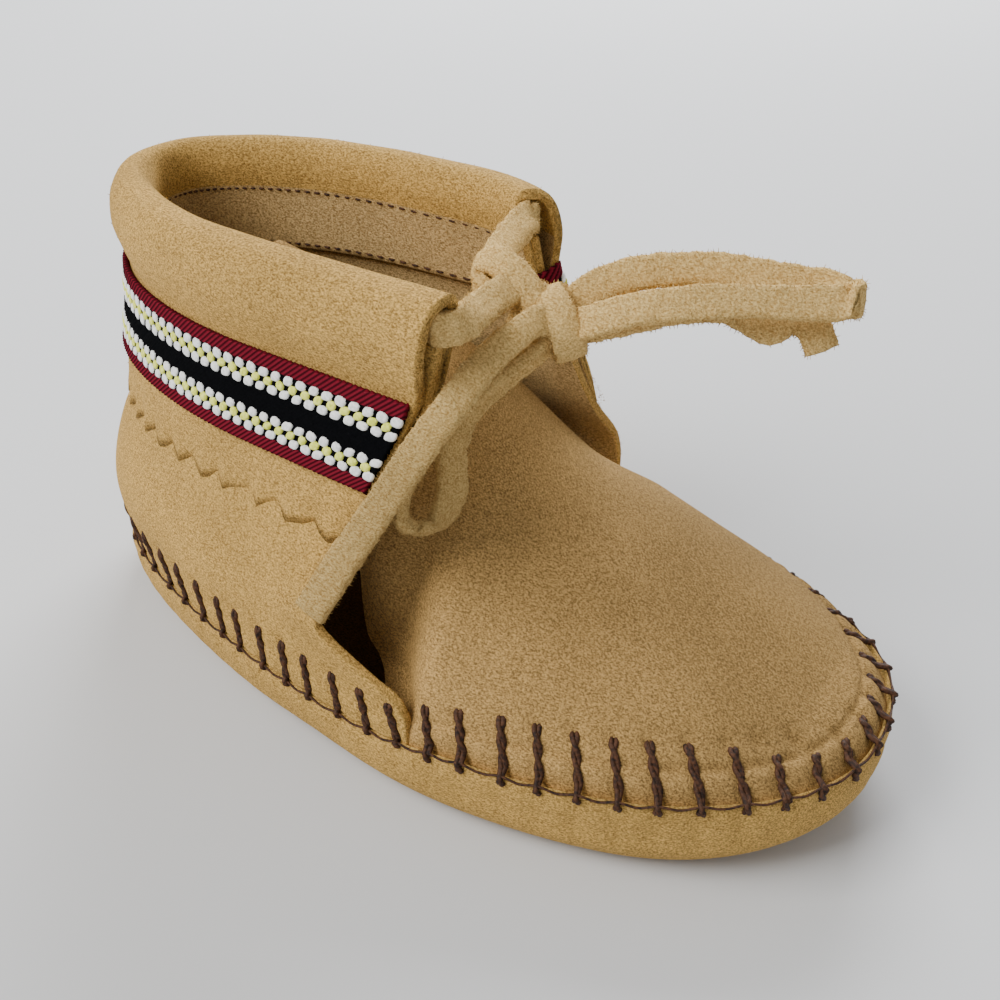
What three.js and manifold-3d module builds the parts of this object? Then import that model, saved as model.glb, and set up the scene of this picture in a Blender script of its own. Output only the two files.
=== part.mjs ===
// Child's soft-soled suede moccasin bootie, right foot, standing empty on its sole.
// Millimetres, +Z up, toe towards +X, the wearer's right side towards -Y.
// Shapes are worked out with x measured from the back of the heel seam.
import * as THREE from 'three';
import { mergeVertices } from 'three/addons/utils/BufferGeometryUtils.js';
import Module from 'manifold-3d';

const wasm = await Module();
wasm.setup();

// Main sizes of the last
const length = 135; // heel to toe over the whip-stitched seam
const heelHalf = 27; // half width of the heel at the seam
const ballHalf = { right: 33, left: 33.6 }; // half widths over the ball of the foot
const heelBlunt = 2.3; // squareness of the heel's plan, 2 is an ellipse
const toeBlunt = 2.43; // squareness of the toe's plan
const widenFrom = 0.1; // share of the length where the heel starts to widen
const widenOver = 0.55; // share of the length that the widening takes
const toeBend = 1.9; // how far the toe curves towards the left foot
const seamRise = { heel: 9.6, toe: 14.5 }; // height of the seam over the floor

// Leather thicknesses and the gap that neighbours keep
const wall = 1.5;
const cuffLeather = 1.4;
const soleLeather = 1.8;
const gap = 0.3;

// Collar
const collarBack = 5.4; // how far the collar's back leans in front of the heel seam
const collarFront = 80; // where the plan of collar and quarter ends, at the throat
const collarHalf = 18.5; // half width of the opening's outline
const collarRound = 42; // length of the rounded back of the opening
const collarShift = 6.5; // the collar's back stands this far towards +Y
const collarTurn = 0.1; // and turns back to the middle by this much per millimetre
const collarNip = { deep: 4.5, from: 58, over: 15 }; // the left front end draws in
const crest = { back: 71.8, slope: 0.06 }; // height of the collar's top

// Quarter wall between seam and collar
const leanPower = { back: 2.2, front: 1.6 }; // how soon the wall leans in from seam to collar
const swell = { back: 5.2, front: 1.8 }; // bulge of the soft wall over the seam
const swellAt = 0.22; // share of the height where it is fullest
const heelReach = 45; // length of the heel's rounding in plan
const quarterTop = 6.6; // the quarter's top edge stops this far under the crest
const quarterSkirt = 0.15; // half of the butt gap at the seam
const flare = { out: 2.4, up: 0.25, tall: 0.13, along: 0.055 }; // the flap's lower corner stands off

// Front edge of the quarter: share of the height against x, right and left flap
const frontEdge = [
  { up: 0.0, right: 79, left: 79.4 },
  { up: 0.07, right: 77, left: 79.2 },
  { up: 0.13, right: 71, left: 79.2 },
  { up: 0.2, right: 64, left: 79.4 },
  { up: 0.36, right: 65.4, left: 79 },
  { up: 0.56, right: 70.4, left: 77 },
  { up: 0.78, right: 76.6, left: 73.6 },
  { up: 1.0, right: 79, left: 70.5 },
];

// Ridge of the vamp over the floor, from throat to toe
const ridge = [
  { x: 60, top: 57 },
  { x: 66, top: 54 },
  { x: 78, top: 43.4 },
  { x: 88, top: 36 },
  { x: 98, top: 31.4 },
  { x: 108, top: 27.6 },
  { x: 118, top: 23.4 },
  { x: 126, top: 19.6 },
];
const vampBack = 62; // the vamp's side edges leave the seam here, under the quarter
const vampSide = 2.0; // squareness of the vamp's cross-section at its sides
const vampCrown = 1.6; // and over its ridge
const toePower = 1.6; // how soon the vamp falls to the seam at the toe
const lapInset = { right: 8.5, left: 5 }; // how far the vamp stands in from the quarter that laps it
const lapSewn = 0.1; // share of that inset at the seam, where the two are sewn
const lapHeight = 6; // height over the seam where it has its full inset
const lapEnd = { right: 82, left: 90 }; // where the vamp comes out from under the quarter
const lapRun = 11; // over this length

// Tongue behind the throat, a row for each section, tip last
const tongue = [
  { x: 57.5, top: 56.6, half: 15, crown: 8, mid: 0.5 },
  { x: 52, top: 58.3, half: 12.8, crown: 6, mid: 1 },
  { x: 46.5, top: 60.2, half: 10.5, crown: 5.5, mid: 1 },
  { x: 41, top: 62.4, half: 7.5, crown: 4, mid: 1 },
  { x: 35, top: 65, half: 1.8, crown: 0.8, mid: 1 },
];

// Sole tray: plan inset from the seam and share of the seam height, from rim to floor
const soleSide = [
  { inset: 0, up: 1 },
  { inset: -0.6, up: 0.72 },
  { inset: -0.5, up: 0.45 },
  { inset: 0.7, up: 0.2 },
  { inset: 3, up: 0.05 },
  { inset: 6.5, up: 0 },
];
const archRise = 1.2; // lift of the floor line under the arch
const archAt = 60;
const archSpan = 14;
const toeSpring = 3.8; // lift of the floor line at the toe
const springFrom = 108;
const heelSpring = 1.6; // and at the back of the heel
const heelFlat = 13; // where the heel's flat starts
const insoleThick = 1.8;
const insoleInset = 9.5;

// Cuff section: offset from the quarter's face and drop under the crest, outer edge to inner hem
const cuffPath = [
  { out: 1.0, drop: 38 },
  { out: 1.0, drop: 31 },
  { out: 1.0, drop: 22 },
  { out: 1.0, drop: 14 },
  { out: 2.1, drop: 10.5 },
  { out: 2.9, drop: 7 },
  { out: 2.6, drop: 3.6 },
  { out: 1.1, drop: 1.2 },
  { out: -1.1, drop: 0.7 },
  { out: -2.6, drop: 2.1 },
  { out: -3.2, drop: 4.4 },
  { out: -3.1, drop: 6.6 },
  { out: -2.6, drop: 8.8 },
];
const pinkTeeth = 26; // teeth of the pinked lower edge
const pinkDepth = 2.2;
const band = { from: 14, to: 28, thick: 0.7 };

// Lace
const laceWidth = 4;
const laceThick = 1.6;
const tunnel = { out: -0.4, drop: 4.2 };
const knotCentre = new THREE.Vector3(80.2, -2, 68.6);
const knotSize = new THREE.Vector3(8.4, 4.8, 5); // half sizes
const cordRadius = 1.3;

const suede = '#c39a63';
const suedeDark = '#a57c4b';
const braidColour = '#3a2a2c';

// The frame's origin lies under the middle of the shoe's box
const middle = { x: 66.29, y: 0.94 };

// Small helpers
const clamp01 = (t) => Math.min(1, Math.max(0, t));
const ease = (t) => t * t * (3 - 2 * t);
const range = (count, make) => Array.from({ length: count }, (_, i) => make(i));

function lookUp(table, key, column, value) {
  const last = table.length - 1;
  const rising = table[last][key] > table[0][key];
  const next = table.findIndex((row) => (rising ? row[key] >= value : row[key] <= value));
  if (next === 0) return table[0][column];
  if (next < 0) return table[last][column];
  const a = table[next - 1];
  const b = table[next];
  const t = (value - a[key]) / (b[key] - a[key]);
  return a[column] + (b[column] - a[column]) * t;
}

// Closed body from triangles given as index triples; slivers are dropped and faces turned outwards
function bodyGeometry(points, faces) {
  const flat = new THREE.BufferGeometry();
  flat.setAttribute('position', new THREE.Float32BufferAttribute(points.flatMap((p) => [p.x, p.y, p.z]), 3));
  flat.setIndex(faces.flat());
  const merged = mergeVertices(flat, 1e-4);
  const at = (i) => new THREE.Vector3().fromBufferAttribute(merged.attributes.position, i);
  const kept = [];
  let volume = 0;
  for (let i = 0; i < merged.index.count; i += 3) {
    const [a, b, c] = [0, 1, 2].map((k) => merged.index.getX(i + k));
    if (a === b || b === c || a === c) continue;
    kept.push([a, b, c]);
    volume += at(a).dot(at(b).cross(at(c)));
  }
  merged.setIndex(kept.flatMap(([a, b, c]) => (volume > 0 ? [a, b, c] : [a, c, b])));
  merged.computeVertexNormals();
  return merged;
}

// Sheet with a wall: an outer grid and an inner grid of points, joined round their four edges
function sheetGeometry(outer, inner) {
  const rows = outer.length;
  const columns = outer[0].length;
  const points = [...outer.flat(), ...inner.flat()];
  const out = (r, c) => r * columns + c;
  const inn = (r, c) => rows * columns + r * columns + c;
  const faces = [];
  const quad = (a, b, c, d) => faces.push([a, b, c], [a, c, d]);
  for (let r = 0; r + 1 < rows; r += 1) {
    for (let c = 0; c + 1 < columns; c += 1) {
      quad(out(r, c), out(r, c + 1), out(r + 1, c + 1), out(r + 1, c));
      quad(inn(r, c), inn(r + 1, c), inn(r + 1, c + 1), inn(r, c + 1));
    }
    quad(out(r, 0), out(r + 1, 0), inn(r + 1, 0), inn(r, 0));
    quad(out(r, columns - 1), inn(r, columns - 1), inn(r + 1, columns - 1), out(r + 1, columns - 1));
  }
  for (let c = 0; c + 1 < columns; c += 1) {
    quad(out(0, c), inn(0, c), inn(0, c + 1), out(0, c + 1));
    quad(out(rows - 1, c), out(rows - 1, c + 1), inn(rows - 1, c + 1), inn(rows - 1, c));
  }
  return bodyGeometry(points, faces);
}

// Loft of closed sections with flat end caps fanned from each section's first strip
function loftGeometry(sections, capFaces) {
  const count = sections[0].length;
  const faces = [];
  for (let s = 0; s + 1 < sections.length; s += 1) {
    for (let k = 0; k < count; k += 1) {
      const a = s * count + k;
      const b = s * count + ((k + 1) % count);
      faces.push([a, b, b + count], [a, b + count, a + count]);
    }
  }
  const end = (sections.length - 1) * count;
  for (const [a, b, c] of capFaces) faces.push([a, c, b], [end + a, end + b, end + c]);
  return bodyGeometry(sections.flat(), faces);
}

function toSolid(geometry) {
  const bare = geometry.clone();
  bare.deleteAttribute('normal');
  const merged = mergeVertices(bare, 1e-4);
  const vertProperties = new Float32Array(merged.attributes.position.array);
  const triVerts = new Uint32Array(merged.index.array);
  return new wasm.Manifold(new wasm.Mesh({ numProp: 3, vertProperties, triVerts }));
}

function fromSolid(solid) {
  const mesh = solid.getMesh();
  const geometry = new THREE.BufferGeometry();
  geometry.setAttribute('position', new THREE.Float32BufferAttribute(mesh.vertProperties, 3));
  geometry.setIndex([...mesh.triVerts]);
  geometry.computeVertexNormals();
  return geometry;
}

// Plan and height of the seam; side is -1 right, 1 left
function seamY(x, side) {
  const half = length / 2;
  const end = Math.abs(x - half) / half;
  const blunt = x < half ? heelBlunt : toeBlunt;
  const round = Math.max(0, 1 - end ** blunt) ** (1 / blunt);
  const ball = side < 0 ? ballHalf.right : ballHalf.left;
  const widen = ease(clamp01((x / length - widenFrom) / widenOver));
  return toeBend * (x / length) ** 2 + side * (heelHalf + (ball - heelHalf) * widen) * round;
}
const seamZ = (x) => seamRise.heel + ((seamRise.toe - seamRise.heel) * x) / length;

// Plan and height of the collar's top
function collarY(x, side) {
  const round = Math.sqrt(Math.max(0, 1 - (1 - clamp01((x - collarBack) / collarRound)) ** 2));
  const nip = side > 0 ? collarNip.deep * clamp01((x - collarNip.from) / collarNip.over) ** 2 : 0;
  return collarShift - collarTurn * (x - collarBack) + side * (collarHalf * round - nip);
}
const crestZ = (x) => crest.back + crest.slope * (x - collarBack);

// Value that changes from the heel, where round is 0, to the front edges
const backToFront = (pair, round) => pair.back + (pair.front - pair.back) * round * round;

// Share of the way from the seam's plan to the collar's plan
const leanAt = (up, round) => 1 - Math.max(0, 1 - up) ** backToFront(leanPower, round);

// Quarter's outer face: round is -1 at the right front, 0 at the heel, 1 at the left front; up is 0 to 1
function quarterFace(round, up) {
  const side = round < 0 ? -1 : 1;
  const lean = leanAt(up, round);
  const low = collarFront * round * round;
  const high = collarBack + (collarFront - collarBack) * round * round;
  const lowY = seamY(low, side);
  const x = low + (high - low) * lean;
  const y = lowY + (collarY(high, side) - lowY) * lean;
  const z = seamZ(low) + (crestZ(high) - seamZ(low)) * up;
  const full = backToFront(swell, round) * ((up / swellAt) * Math.exp(1 - up / swellAt)) ** 2;
  const outward = new THREE.Vector2(Math.min(0, low - heelReach) / heelReach ** 2, lowY / heelHalf ** 2);
  outward.normalize().multiplyScalar(full);
  return new THREE.Vector3(x + outward.x, y + outward.y, z);
}

// How far round the front edge lies at this height
function frontRound(up, side) {
  const back = collarBack * leanAt(up, side);
  const x = lookUp(frontEdge, 'up', side < 0 ? 'right' : 'left', up);
  return side * Math.sqrt((x - back) / (collarFront - back));
}

// Point off the quarter's face; along runs from 0, the right front edge, to 1, the left one
function quarterPoint(along, up, out) {
  const spread = (t) => Math.sign(t) * Math.abs(t) ** 0.8;
  const t = spread(2 * along - 1);
  const round = t < 0 ? -t * frontRound(up, -1) : t * frontRound(up, 1);
  const step = 0.01;
  const lowUp = Math.max(0, up - step);
  const alongFace = quarterFace(round + step, up).sub(quarterFace(round - step, up));
  const upFace = quarterFace(round, up + step).sub(quarterFace(round, lowUp));
  const normal = alongFace.cross(upFace).normalize().negate();
  const edge = Math.min(along, 1 - along) / flare.along;
  const stand = flare.out * Math.exp(-(edge ** 2) - ((up - flare.up) / flare.tall) ** 2);
  return quarterFace(round, up).addScaledVector(normal, out + stand);
}
const upAtDrop = (along, drop) => {
  const round = 2 * along - 1;
  const x = collarFront * round * round;
  return 1 - drop / (crestZ(x) - seamZ(x));
};
const cuffPoint = (along, drop, out) => quarterPoint(along, upAtDrop(along, drop), out);

// Vamp's outer face: x along the shoe, turn from 0 at the right seam over the ridge to PI at the left
function vampFace(x, turn) {
  const half = length / 2;
  const round = Math.max(0, 1 - ((x - half) / half) ** toeBlunt) ** (1 / toeBlunt);
  const lastRow = ridge[ridge.length - 1];
  const lastRound = (1 - ((lastRow.x - half) / half) ** toeBlunt) ** (1 / toeBlunt);
  const toeTop = seamZ(x) + (lastRow.top - seamZ(lastRow.x)) * (round / lastRound) ** toePower;
  const top = x > lastRow.x ? toeTop : lookUp(ridge, 'x', 'top', x);
  const side = turn < Math.PI / 2 ? -1 : 1;
  const across = Math.abs(Math.cos(turn)) ** (2 / vampSide);
  const lift = Math.sin(turn) ** (2 / vampCrown);
  const rise = (top - seamZ(x)) * lift;
  const lap = lapSewn + (1 - lapSewn) * ease(clamp01(rise / lapHeight));
  const flap = side < 0 ? 'right' : 'left';
  const tuck = lapInset[flap] * ease(clamp01((lapEnd[flap] - x) / lapRun)) * lap;
  const middleY = toeBend * (x / length) ** 2;
  const y = middleY + (seamY(x, side) - middleY - side * tuck) * across;
  return new THREE.Vector3(x, y, seamZ(x) + quarterSkirt + rise);
}

function tongueFace(row, turn) {
  const across = -Math.cos(turn);
  return new THREE.Vector3(row.x, row.mid + row.half * across, row.top - row.crown * across * across);
}

// Grid of points, pushed in along its own normals
function pushedIn(grid, depth) {
  const rows = grid.length;
  const columns = grid[0].length;
  return grid.map((row, r) =>
    row.map((point, c) => {
      const along = grid[Math.min(rows - 1, r + 1)][c].clone().sub(grid[Math.max(0, r - 1)][c]);
      const across = row[Math.min(columns - 1, c + 1)].clone().sub(row[Math.max(0, c - 1)]);
      return point.clone().addScaledVector(along.cross(across).normalize(), depth);
    })
  );
}

// Grid of points with none under the butt gap at the seam
function onSeam(grid) {
  const lowest = (p) => seamZ(p.x) + quarterSkirt;
  return grid.map((row) => row.map((p) => p.clone().setZ(Math.max(p.z, lowest(p)))));
}

// Upper: vamp with tongue, and quarter, sewn into one hollow solid
function makeUpper() {
  const turns = range(25, (i) => 0.03 + ((Math.PI - 0.06) * i) / 24);
  const sweep = range(17, (i) => 0.016 + ((Math.PI / 2 - 0.016) * i) / 16);
  const toeRows = sweep.map((s) => length - (length - vampBack) * (1 - Math.cos(s)));
  const backRow = turns.map((turn) => vampFace(vampBack, turn));
  const tongueRow = turns.map((turn) => tongueFace(tongue[0], turn));
  const vampOuter = [
    ...toeRows.map((x) => turns.map((turn) => vampFace(x, turn))),
    backRow.map((point, i) => point.clone().lerp(tongueRow[i], 1 / 3)),
    backRow.map((point, i) => point.clone().lerp(tongueRow[i], 2 / 3)),
    ...tongue.map((row) => turns.map((turn) => tongueFace(row, turn))),
  ];
  const vamp = sheetGeometry(vampOuter, onSeam(pushedIn(vampOuter, wall)));

  const columns = range(45, (i) => i / 44);
  const topUp = upAtDrop(0, quarterTop);
  const ups = range(14, (i) => (topUp * i) / 13);
  const face = (out) => ups.map((up) => columns.map((along) => quarterPoint(along, up, out)));
  const quarter = sheetGeometry(onSeam(face(0)), onSeam(face(-wall)));
  return fromSolid(toSolid(vamp).add(toSolid(quarter)));
}

// Floor line of the sole, flat at heel and forefoot
function floorZ(x) {
  const arch = archRise * Math.exp(-(((x - archAt) / archSpan) ** 2) * 2);
  const toe = toeSpring * clamp01((x - springFrom) / (length - springFrom)) ** 2;
  const heel = heelSpring * clamp01(1 - x / heelFlat) ** 2;
  return (Math.abs(x - archAt) < 24 ? arch : 0) + toe + heel;
}

// Ring of points round the plan, inset from the seam, the right side first
const ringStations = 36;
function planRing(inset, height) {
  const near = range(ringStations + 1, (i) => (length / 2) * (1 - Math.cos((Math.PI * i) / ringStations)));
  const walk = [...near.map((x) => [x, -1]), ...near.slice(1, -1).reverse().map((x) => [x, 1])];
  const plan = walk.map(([x, side]) => new THREE.Vector2(x, seamY(x, side)));
  return plan.map((p, i) => {
    const before = plan[(i + plan.length - 1) % plan.length];
    const after = plan[(i + 1) % plan.length];
    const run = after.clone().sub(before).normalize();
    const x = p.x - run.y * inset;
    const y = p.y + run.x * inset;
    return new THREE.Vector3(x, y, height(Math.min(length, Math.max(0, x))));
  });
}

// Strips that close a plan ring across the shoe, right station to left station
function ringStrips(count, base) {
  const half = count / 2;
  const faces = [];
  for (let i = 0; i < half; i += 1) {
    const right = base + i;
    const left = base + ((count - i) % count);
    const nextLeft = base + count - i - 1;
    faces.push([right, right + 1, nextLeft], [right, nextLeft, left]);
  }
  return faces;
}

function ringsGeometry(rings, closeFirst) {
  const count = rings[0].length;
  const faces = [];
  for (let r = 0; r + 1 < rings.length; r += 1) {
    for (let k = 0; k < count; k += 1) {
      const a = r * count + k;
      const b = r * count + ((k + 1) % count);
      faces.push([a, b, b + count], [a, b + count, a + count]);
    }
  }
  const end = (rings.length - 1) * count;
  for (const [a, b, c] of ringStrips(count, end)) faces.push([a, b, c]);
  if (closeFirst) for (const [a, b, c] of ringStrips(count, 0)) faces.push([a, c, b]);
  return bodyGeometry(rings.flat(), faces);
}

// Sole tray: rings from the inner middle up to the rim and down the outside to the floor
function makeSole() {
  const rim = (x) => seamZ(x) - quarterSkirt;
  const outside = soleSide.map((row) =>
    planRing(row.inset, (x) => floorZ(x) + (rim(x) - floorZ(x)) * row.up)
  );
  const inside = soleSide.map((row, i) => {
    const thick = soleLeather * (i ? 1 : 0);
    const level = (x) => Math.max(floorZ(x) + soleLeather, floorZ(x) + (rim(x) - floorZ(x)) * row.up);
    const stand = i ? level : rim;
    return planRing(row.inset + soleLeather + 0.3 * thick * (i > 3 ? 1 : 0), stand);
  });
  return ringsGeometry([...inside.reverse(), ...outside], true);
}

function makeInsole() {
  const low = (x) => floorZ(x) + soleLeather + gap;
  const high = (x) => low(x) + insoleThick;
  const rings = [planRing(insoleInset, high), planRing(insoleInset, low)];
  return ringsGeometry(rings, true);
}

// Cuff: the folded section run round the collar, its outer edge cut to teeth
function makeCuff() {
  const stations = 2 * pinkTeeth;
  const half = cuffLeather / 2;
  const sides = cuffPath.map((row, i) => {
    const before = cuffPath[Math.max(0, i - 1)];
    const after = cuffPath[Math.min(cuffPath.length - 1, i + 1)];
    const run = new THREE.Vector2(after.out - before.out, before.drop - after.drop).normalize();
    return { out: row.out, drop: row.drop, across: run.y * half, rise: run.x * half };
  });
  const sections = range(stations + 1, (s) => {
    const along = s / stations;
    const tooth = s % 2 ? pinkDepth : 0;
    const outer = sides.map((p, i) => cuffPoint(along, p.drop + p.rise - (i ? 0 : tooth), p.out + p.across));
    const inner = sides.map((p, i) => cuffPoint(along, p.drop - p.rise - (i ? 0 : tooth), p.out - p.across));
    return [...outer, ...inner.reverse()];
  });
  const count = cuffPath.length;
  const cap = range(count - 1, (i) => [
    [i, i + 1, 2 * count - 2 - i],
    [i, 2 * count - 2 - i, 2 * count - 1 - i],
  ]).flat();
  return loftGeometry(sections, cap);
}

// Braid band on the cuff's outer leg
function makeBand() {
  const face = cuffPath[0].out + cuffLeather / 2 + gap;
  const drops = range(4, (i) => band.from + ((band.to - band.from) * i) / 3);
  const stations = range(2 * pinkTeeth + 1, (s) => 0.004 + (0.992 * s) / (2 * pinkTeeth));
  const grid = (out) => drops.map((drop) => stations.map((along) => cuffPoint(along, drop, out)));
  return sheetGeometry(grid(face + band.thick), grid(face));
}

// Flat thong swept along points; up gives the way its width stands at each point
function thongGeometry(path, ups, width, thick) {
  const sections = path.map((point, i) => {
    const run = path[Math.min(path.length - 1, i + 1)].clone().sub(path[Math.max(0, i - 1)]).normalize();
    const flat = run.clone().cross(ups[i]).normalize();
    const tall = flat.clone().cross(run).normalize();
    const corner = (a, b) => point.clone().addScaledVector(tall, a * width / 2).addScaledVector(flat, b * thick / 2);
    return [corner(-1, -1), corner(1, -1), corner(1, 1), corner(-1, 1)];
  });
  return loftGeometry(sections, [[0, 1, 2], [0, 2, 3]]);
}

// Point just off the knot's face, towards a given point
const vector = (x, y, z) => new THREE.Vector3(x, y, z);
function knotExit(towards) {
  const ray = towards.clone().sub(knotCentre);
  const reach = 1 / ray.clone().divide(knotSize).length();
  return knotCentre.clone().addScaledVector(ray, reach + (2 * gap) / ray.length());
}

// Lace run in the cuff's tunnel, out at both front ends and on to the knot
function makeLaceCollar() {
  const inTunnel = range(45, (i) => cuffPoint(i / 44, tunnel.drop, tunnel.out));
  const right = [vector(80.6, -9, 70.6), vector(82.8, -12.4, 71), vector(82.4, -15.8, 71.8)];
  const left = [vector(73.2, 14.2, 71.8), vector(73.4, 11, 71.8), vector(74.4, 6.6, 71.2)];
  const toKnotRight = [knotExit(right[0]), ...right];
  const toKnotLeft = [...left, knotExit(left[2])];
  const path = [...toKnotRight, ...inTunnel, ...toKnotLeft];
  const upright = vector(0, 0, 1);
  return thongGeometry(path, path.map(() => upright), laceWidth, laceThick);
}

function makeKnot() {
  const knot = new THREE.SphereGeometry(1, 12, 8);
  knot.deleteAttribute('uv');
  knot.deleteAttribute('normal');
  const body = mergeVertices(knot, 1e-4);
  body.scale(knotSize.x, knotSize.y, knotSize.z);
  body.translate(knotCentre.x, knotCentre.y, knotCentre.z);
  body.computeVertexNormals();
  return body;
}

// Loops and ends of the bow, plain tubes along hand-placed points
const bow = {
  lace_loop_far: [
    vector(89, 2.8, 72.6), vector(92.1, 4.8, 74.2), vector(98.1, 8.6, 74.4), vector(105.3, 11.4, 74.1),
    vector(111.8, 13.4, 73.6), vector(115.8, 14, 73), vector(117.3, 13, 71.6), vector(115.6, 11.6, 70.6),
    vector(111, 9.2, 70.8), vector(105.2, 6, 71), vector(100, 3.2, 70.6), vector(94.9, 0, 69.6),
    vector(91, -2, 68.2),
  ],
  lace_loop_near: [
    vector(80.4, -4.4, 61), vector(76.9, -11, 56.8), vector(76.3, -14.4, 52.4), vector(77.4, -16.5, 46.6),
    vector(76.6, -18.6, 42.4), vector(74.2, -21, 42), vector(73.2, -22.4, 45), vector(74.4, -21.2, 50),
    vector(76.6, -18.9, 54.8), vector(79, -14.6, 59.4), vector(82.2, -8, 63),
  ],
  lace_end_near: [
    vector(85.4, -8, 67.2), vector(81.6, -15.2, 65.8), vector(78.7, -21, 61.9), vector(75.3, -24.4, 56.2),
    vector(72, -27, 49.6), vector(69.4, -30.6, 43.4), vector(67.2, -33.8, 36.8), vector(66.4, -35.4, 32.4),
  ],
  lace_end_far: [
    vector(91, 0.8, 64.6), vector(97.2, 6, 66.9), vector(103, 9, 67), vector(107.4, 10.6, 66.2),
    vector(110.2, 12.6, 67.6), vector(113, 12.6, 66.8), vector(114, 12, 65),
  ],
};

function makeCord(points, looped) {
  const section = new THREE.Shape();
  range(8, (i) => {
    const angle = (i * Math.PI) / 4;
    const [x, y] = [cordRadius * Math.cos(angle), cordRadius * Math.sin(angle)];
    return i ? section.lineTo(x, y) : section.moveTo(x, y);
  });
  const fromKnot = [knotExit(points[0]), ...points];
  const path = new THREE.CatmullRomCurve3(looped ? [...fromKnot, knotExit(points.at(-1))] : fromKnot);
  const steps = Math.ceil(path.getLength() / (4 * cordRadius));
  const tube = new THREE.ExtrudeGeometry(section, { steps, bevelEnabled: false, extrudePath: path });
  tube.deleteAttribute('uv');
  tube.deleteAttribute('normal');
  const body = mergeVertices(tube, 1e-4);
  body.computeVertexNormals();
  return body;
}

// The shoe
const shoe = new THREE.Group();
shoe.position.set(-middle.x, -middle.y, 0);

function addPiece(name, geometry, color, roughness) {
  const mesh = new THREE.Mesh(geometry, new THREE.MeshStandardMaterial({ color, roughness, metalness: 0 }));
  mesh.name = name;
  shoe.add(mesh);
}

addPiece('sole', makeSole(), suede, 0.95);
addPiece('insole', makeInsole(), suedeDark, 0.95);
addPiece('upper', makeUpper(), suede, 0.95);
addPiece('cuff', makeCuff(), suede, 0.95);
addPiece('braid_band', makeBand(), braidColour, 0.85);
addPiece('lace_collar', makeLaceCollar(), suede, 0.95);
addPiece('lace_knot', makeKnot(), suede, 0.95);
for (const [name, points] of Object.entries(bow)) {
  addPiece(name, makeCord(points, name.includes('loop')), suede, 0.95);
}

export default shoe;
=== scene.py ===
import bisect
import math
import random

import bmesh
import bpy
from mathutils import Matrix, Vector, kdtree, noise
from mathutils.bvhtree import BVHTree


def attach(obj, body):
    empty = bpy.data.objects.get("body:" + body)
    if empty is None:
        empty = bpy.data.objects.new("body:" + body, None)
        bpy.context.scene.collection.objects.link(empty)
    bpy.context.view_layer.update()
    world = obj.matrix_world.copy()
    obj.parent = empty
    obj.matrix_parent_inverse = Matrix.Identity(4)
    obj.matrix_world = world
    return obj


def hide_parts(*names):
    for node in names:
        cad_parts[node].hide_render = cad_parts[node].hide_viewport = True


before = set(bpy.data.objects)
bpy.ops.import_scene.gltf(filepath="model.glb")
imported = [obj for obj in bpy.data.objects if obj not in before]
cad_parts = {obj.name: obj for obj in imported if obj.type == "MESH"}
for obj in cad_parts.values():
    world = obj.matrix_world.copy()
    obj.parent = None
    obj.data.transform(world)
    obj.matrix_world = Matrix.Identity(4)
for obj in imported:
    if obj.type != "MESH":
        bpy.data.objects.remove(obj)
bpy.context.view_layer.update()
random.seed(11)
print("frame loaded:", sorted(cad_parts))

# Sizes are in millimetres with x measured from the back of the heel seam, as on the maker's last
last = {
    "length": 135, "heelHalf": 27, "ballRight": 33, "ballLeft": 33.6, "heelBlunt": 2.3, "toeBlunt": 2.28,
    "widenFrom": 0.1, "widenOver": 0.55, "toeBend": 1.9, "seamHeel": 9.6, "seamToe": 14.5,
    "middleX": 66.29, "middleY": 0.94,
}
# The sole's turned-up edge: its rise over the vamp, its share on the inner side, and its lean outwards
# A pair is where a change begins along the shoe, and over what length
rim = {"lip": 2.2, "grow": (72, 16), "inner": 0.34, "innerGrow": (118, 16), "out": 0.33, "upright": (110, 16)}
collar = {
    "back": 5.4, "front": 80, "half": 18.5, "round": 42, "shift": 6.5, "turn": 0.1,
    "nip": 4.5, "nipFrom": 58, "nipOver": 15, "crest": 71.8, "slope": 0.06,
}
quarter = {
    "leanBack": 2.2, "leanFront": 1.6, "swellBack": 5.2, "swellFront": 1.8, "swellAt": 0.22, "heelReach": 45,
    "topDrop": 6.6, "wall": 1.5, "seamGap": 0.15, "flare": 2.4, "flareUp": 0.25, "flareTall": 0.13,
    "flareAlong": 0.055, "spread": 0.8, "cutEdge": 0.35, "puckerTo": 1.7, "puckerMm": 8, "softDeep": 0.3,
    "softAlong": 6, "softUp": 5, "softSeed": 7.7, "softFrom": 0.1, "columns": 300, "rows": 76,
    "within": (42, 2, 30),
    "rightEdge": [(0, 79.4), (0.06, 79), (0.1, 77.8), (0.135, 75), (0.17, 70.6), (0.2, 66.4), (0.225, 64),
                  (0.28, 64.2), (0.36, 65.4), (0.56, 70.4), (0.78, 76.6), (1, 79)],
    "leftEdge": [(0, 79.4), (0.07, 79.2), (0.13, 79.2), (0.2, 79.4), (0.36, 79), (0.56, 77), (0.78, 73.6),
                 (1, 70.5)],
}
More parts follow.
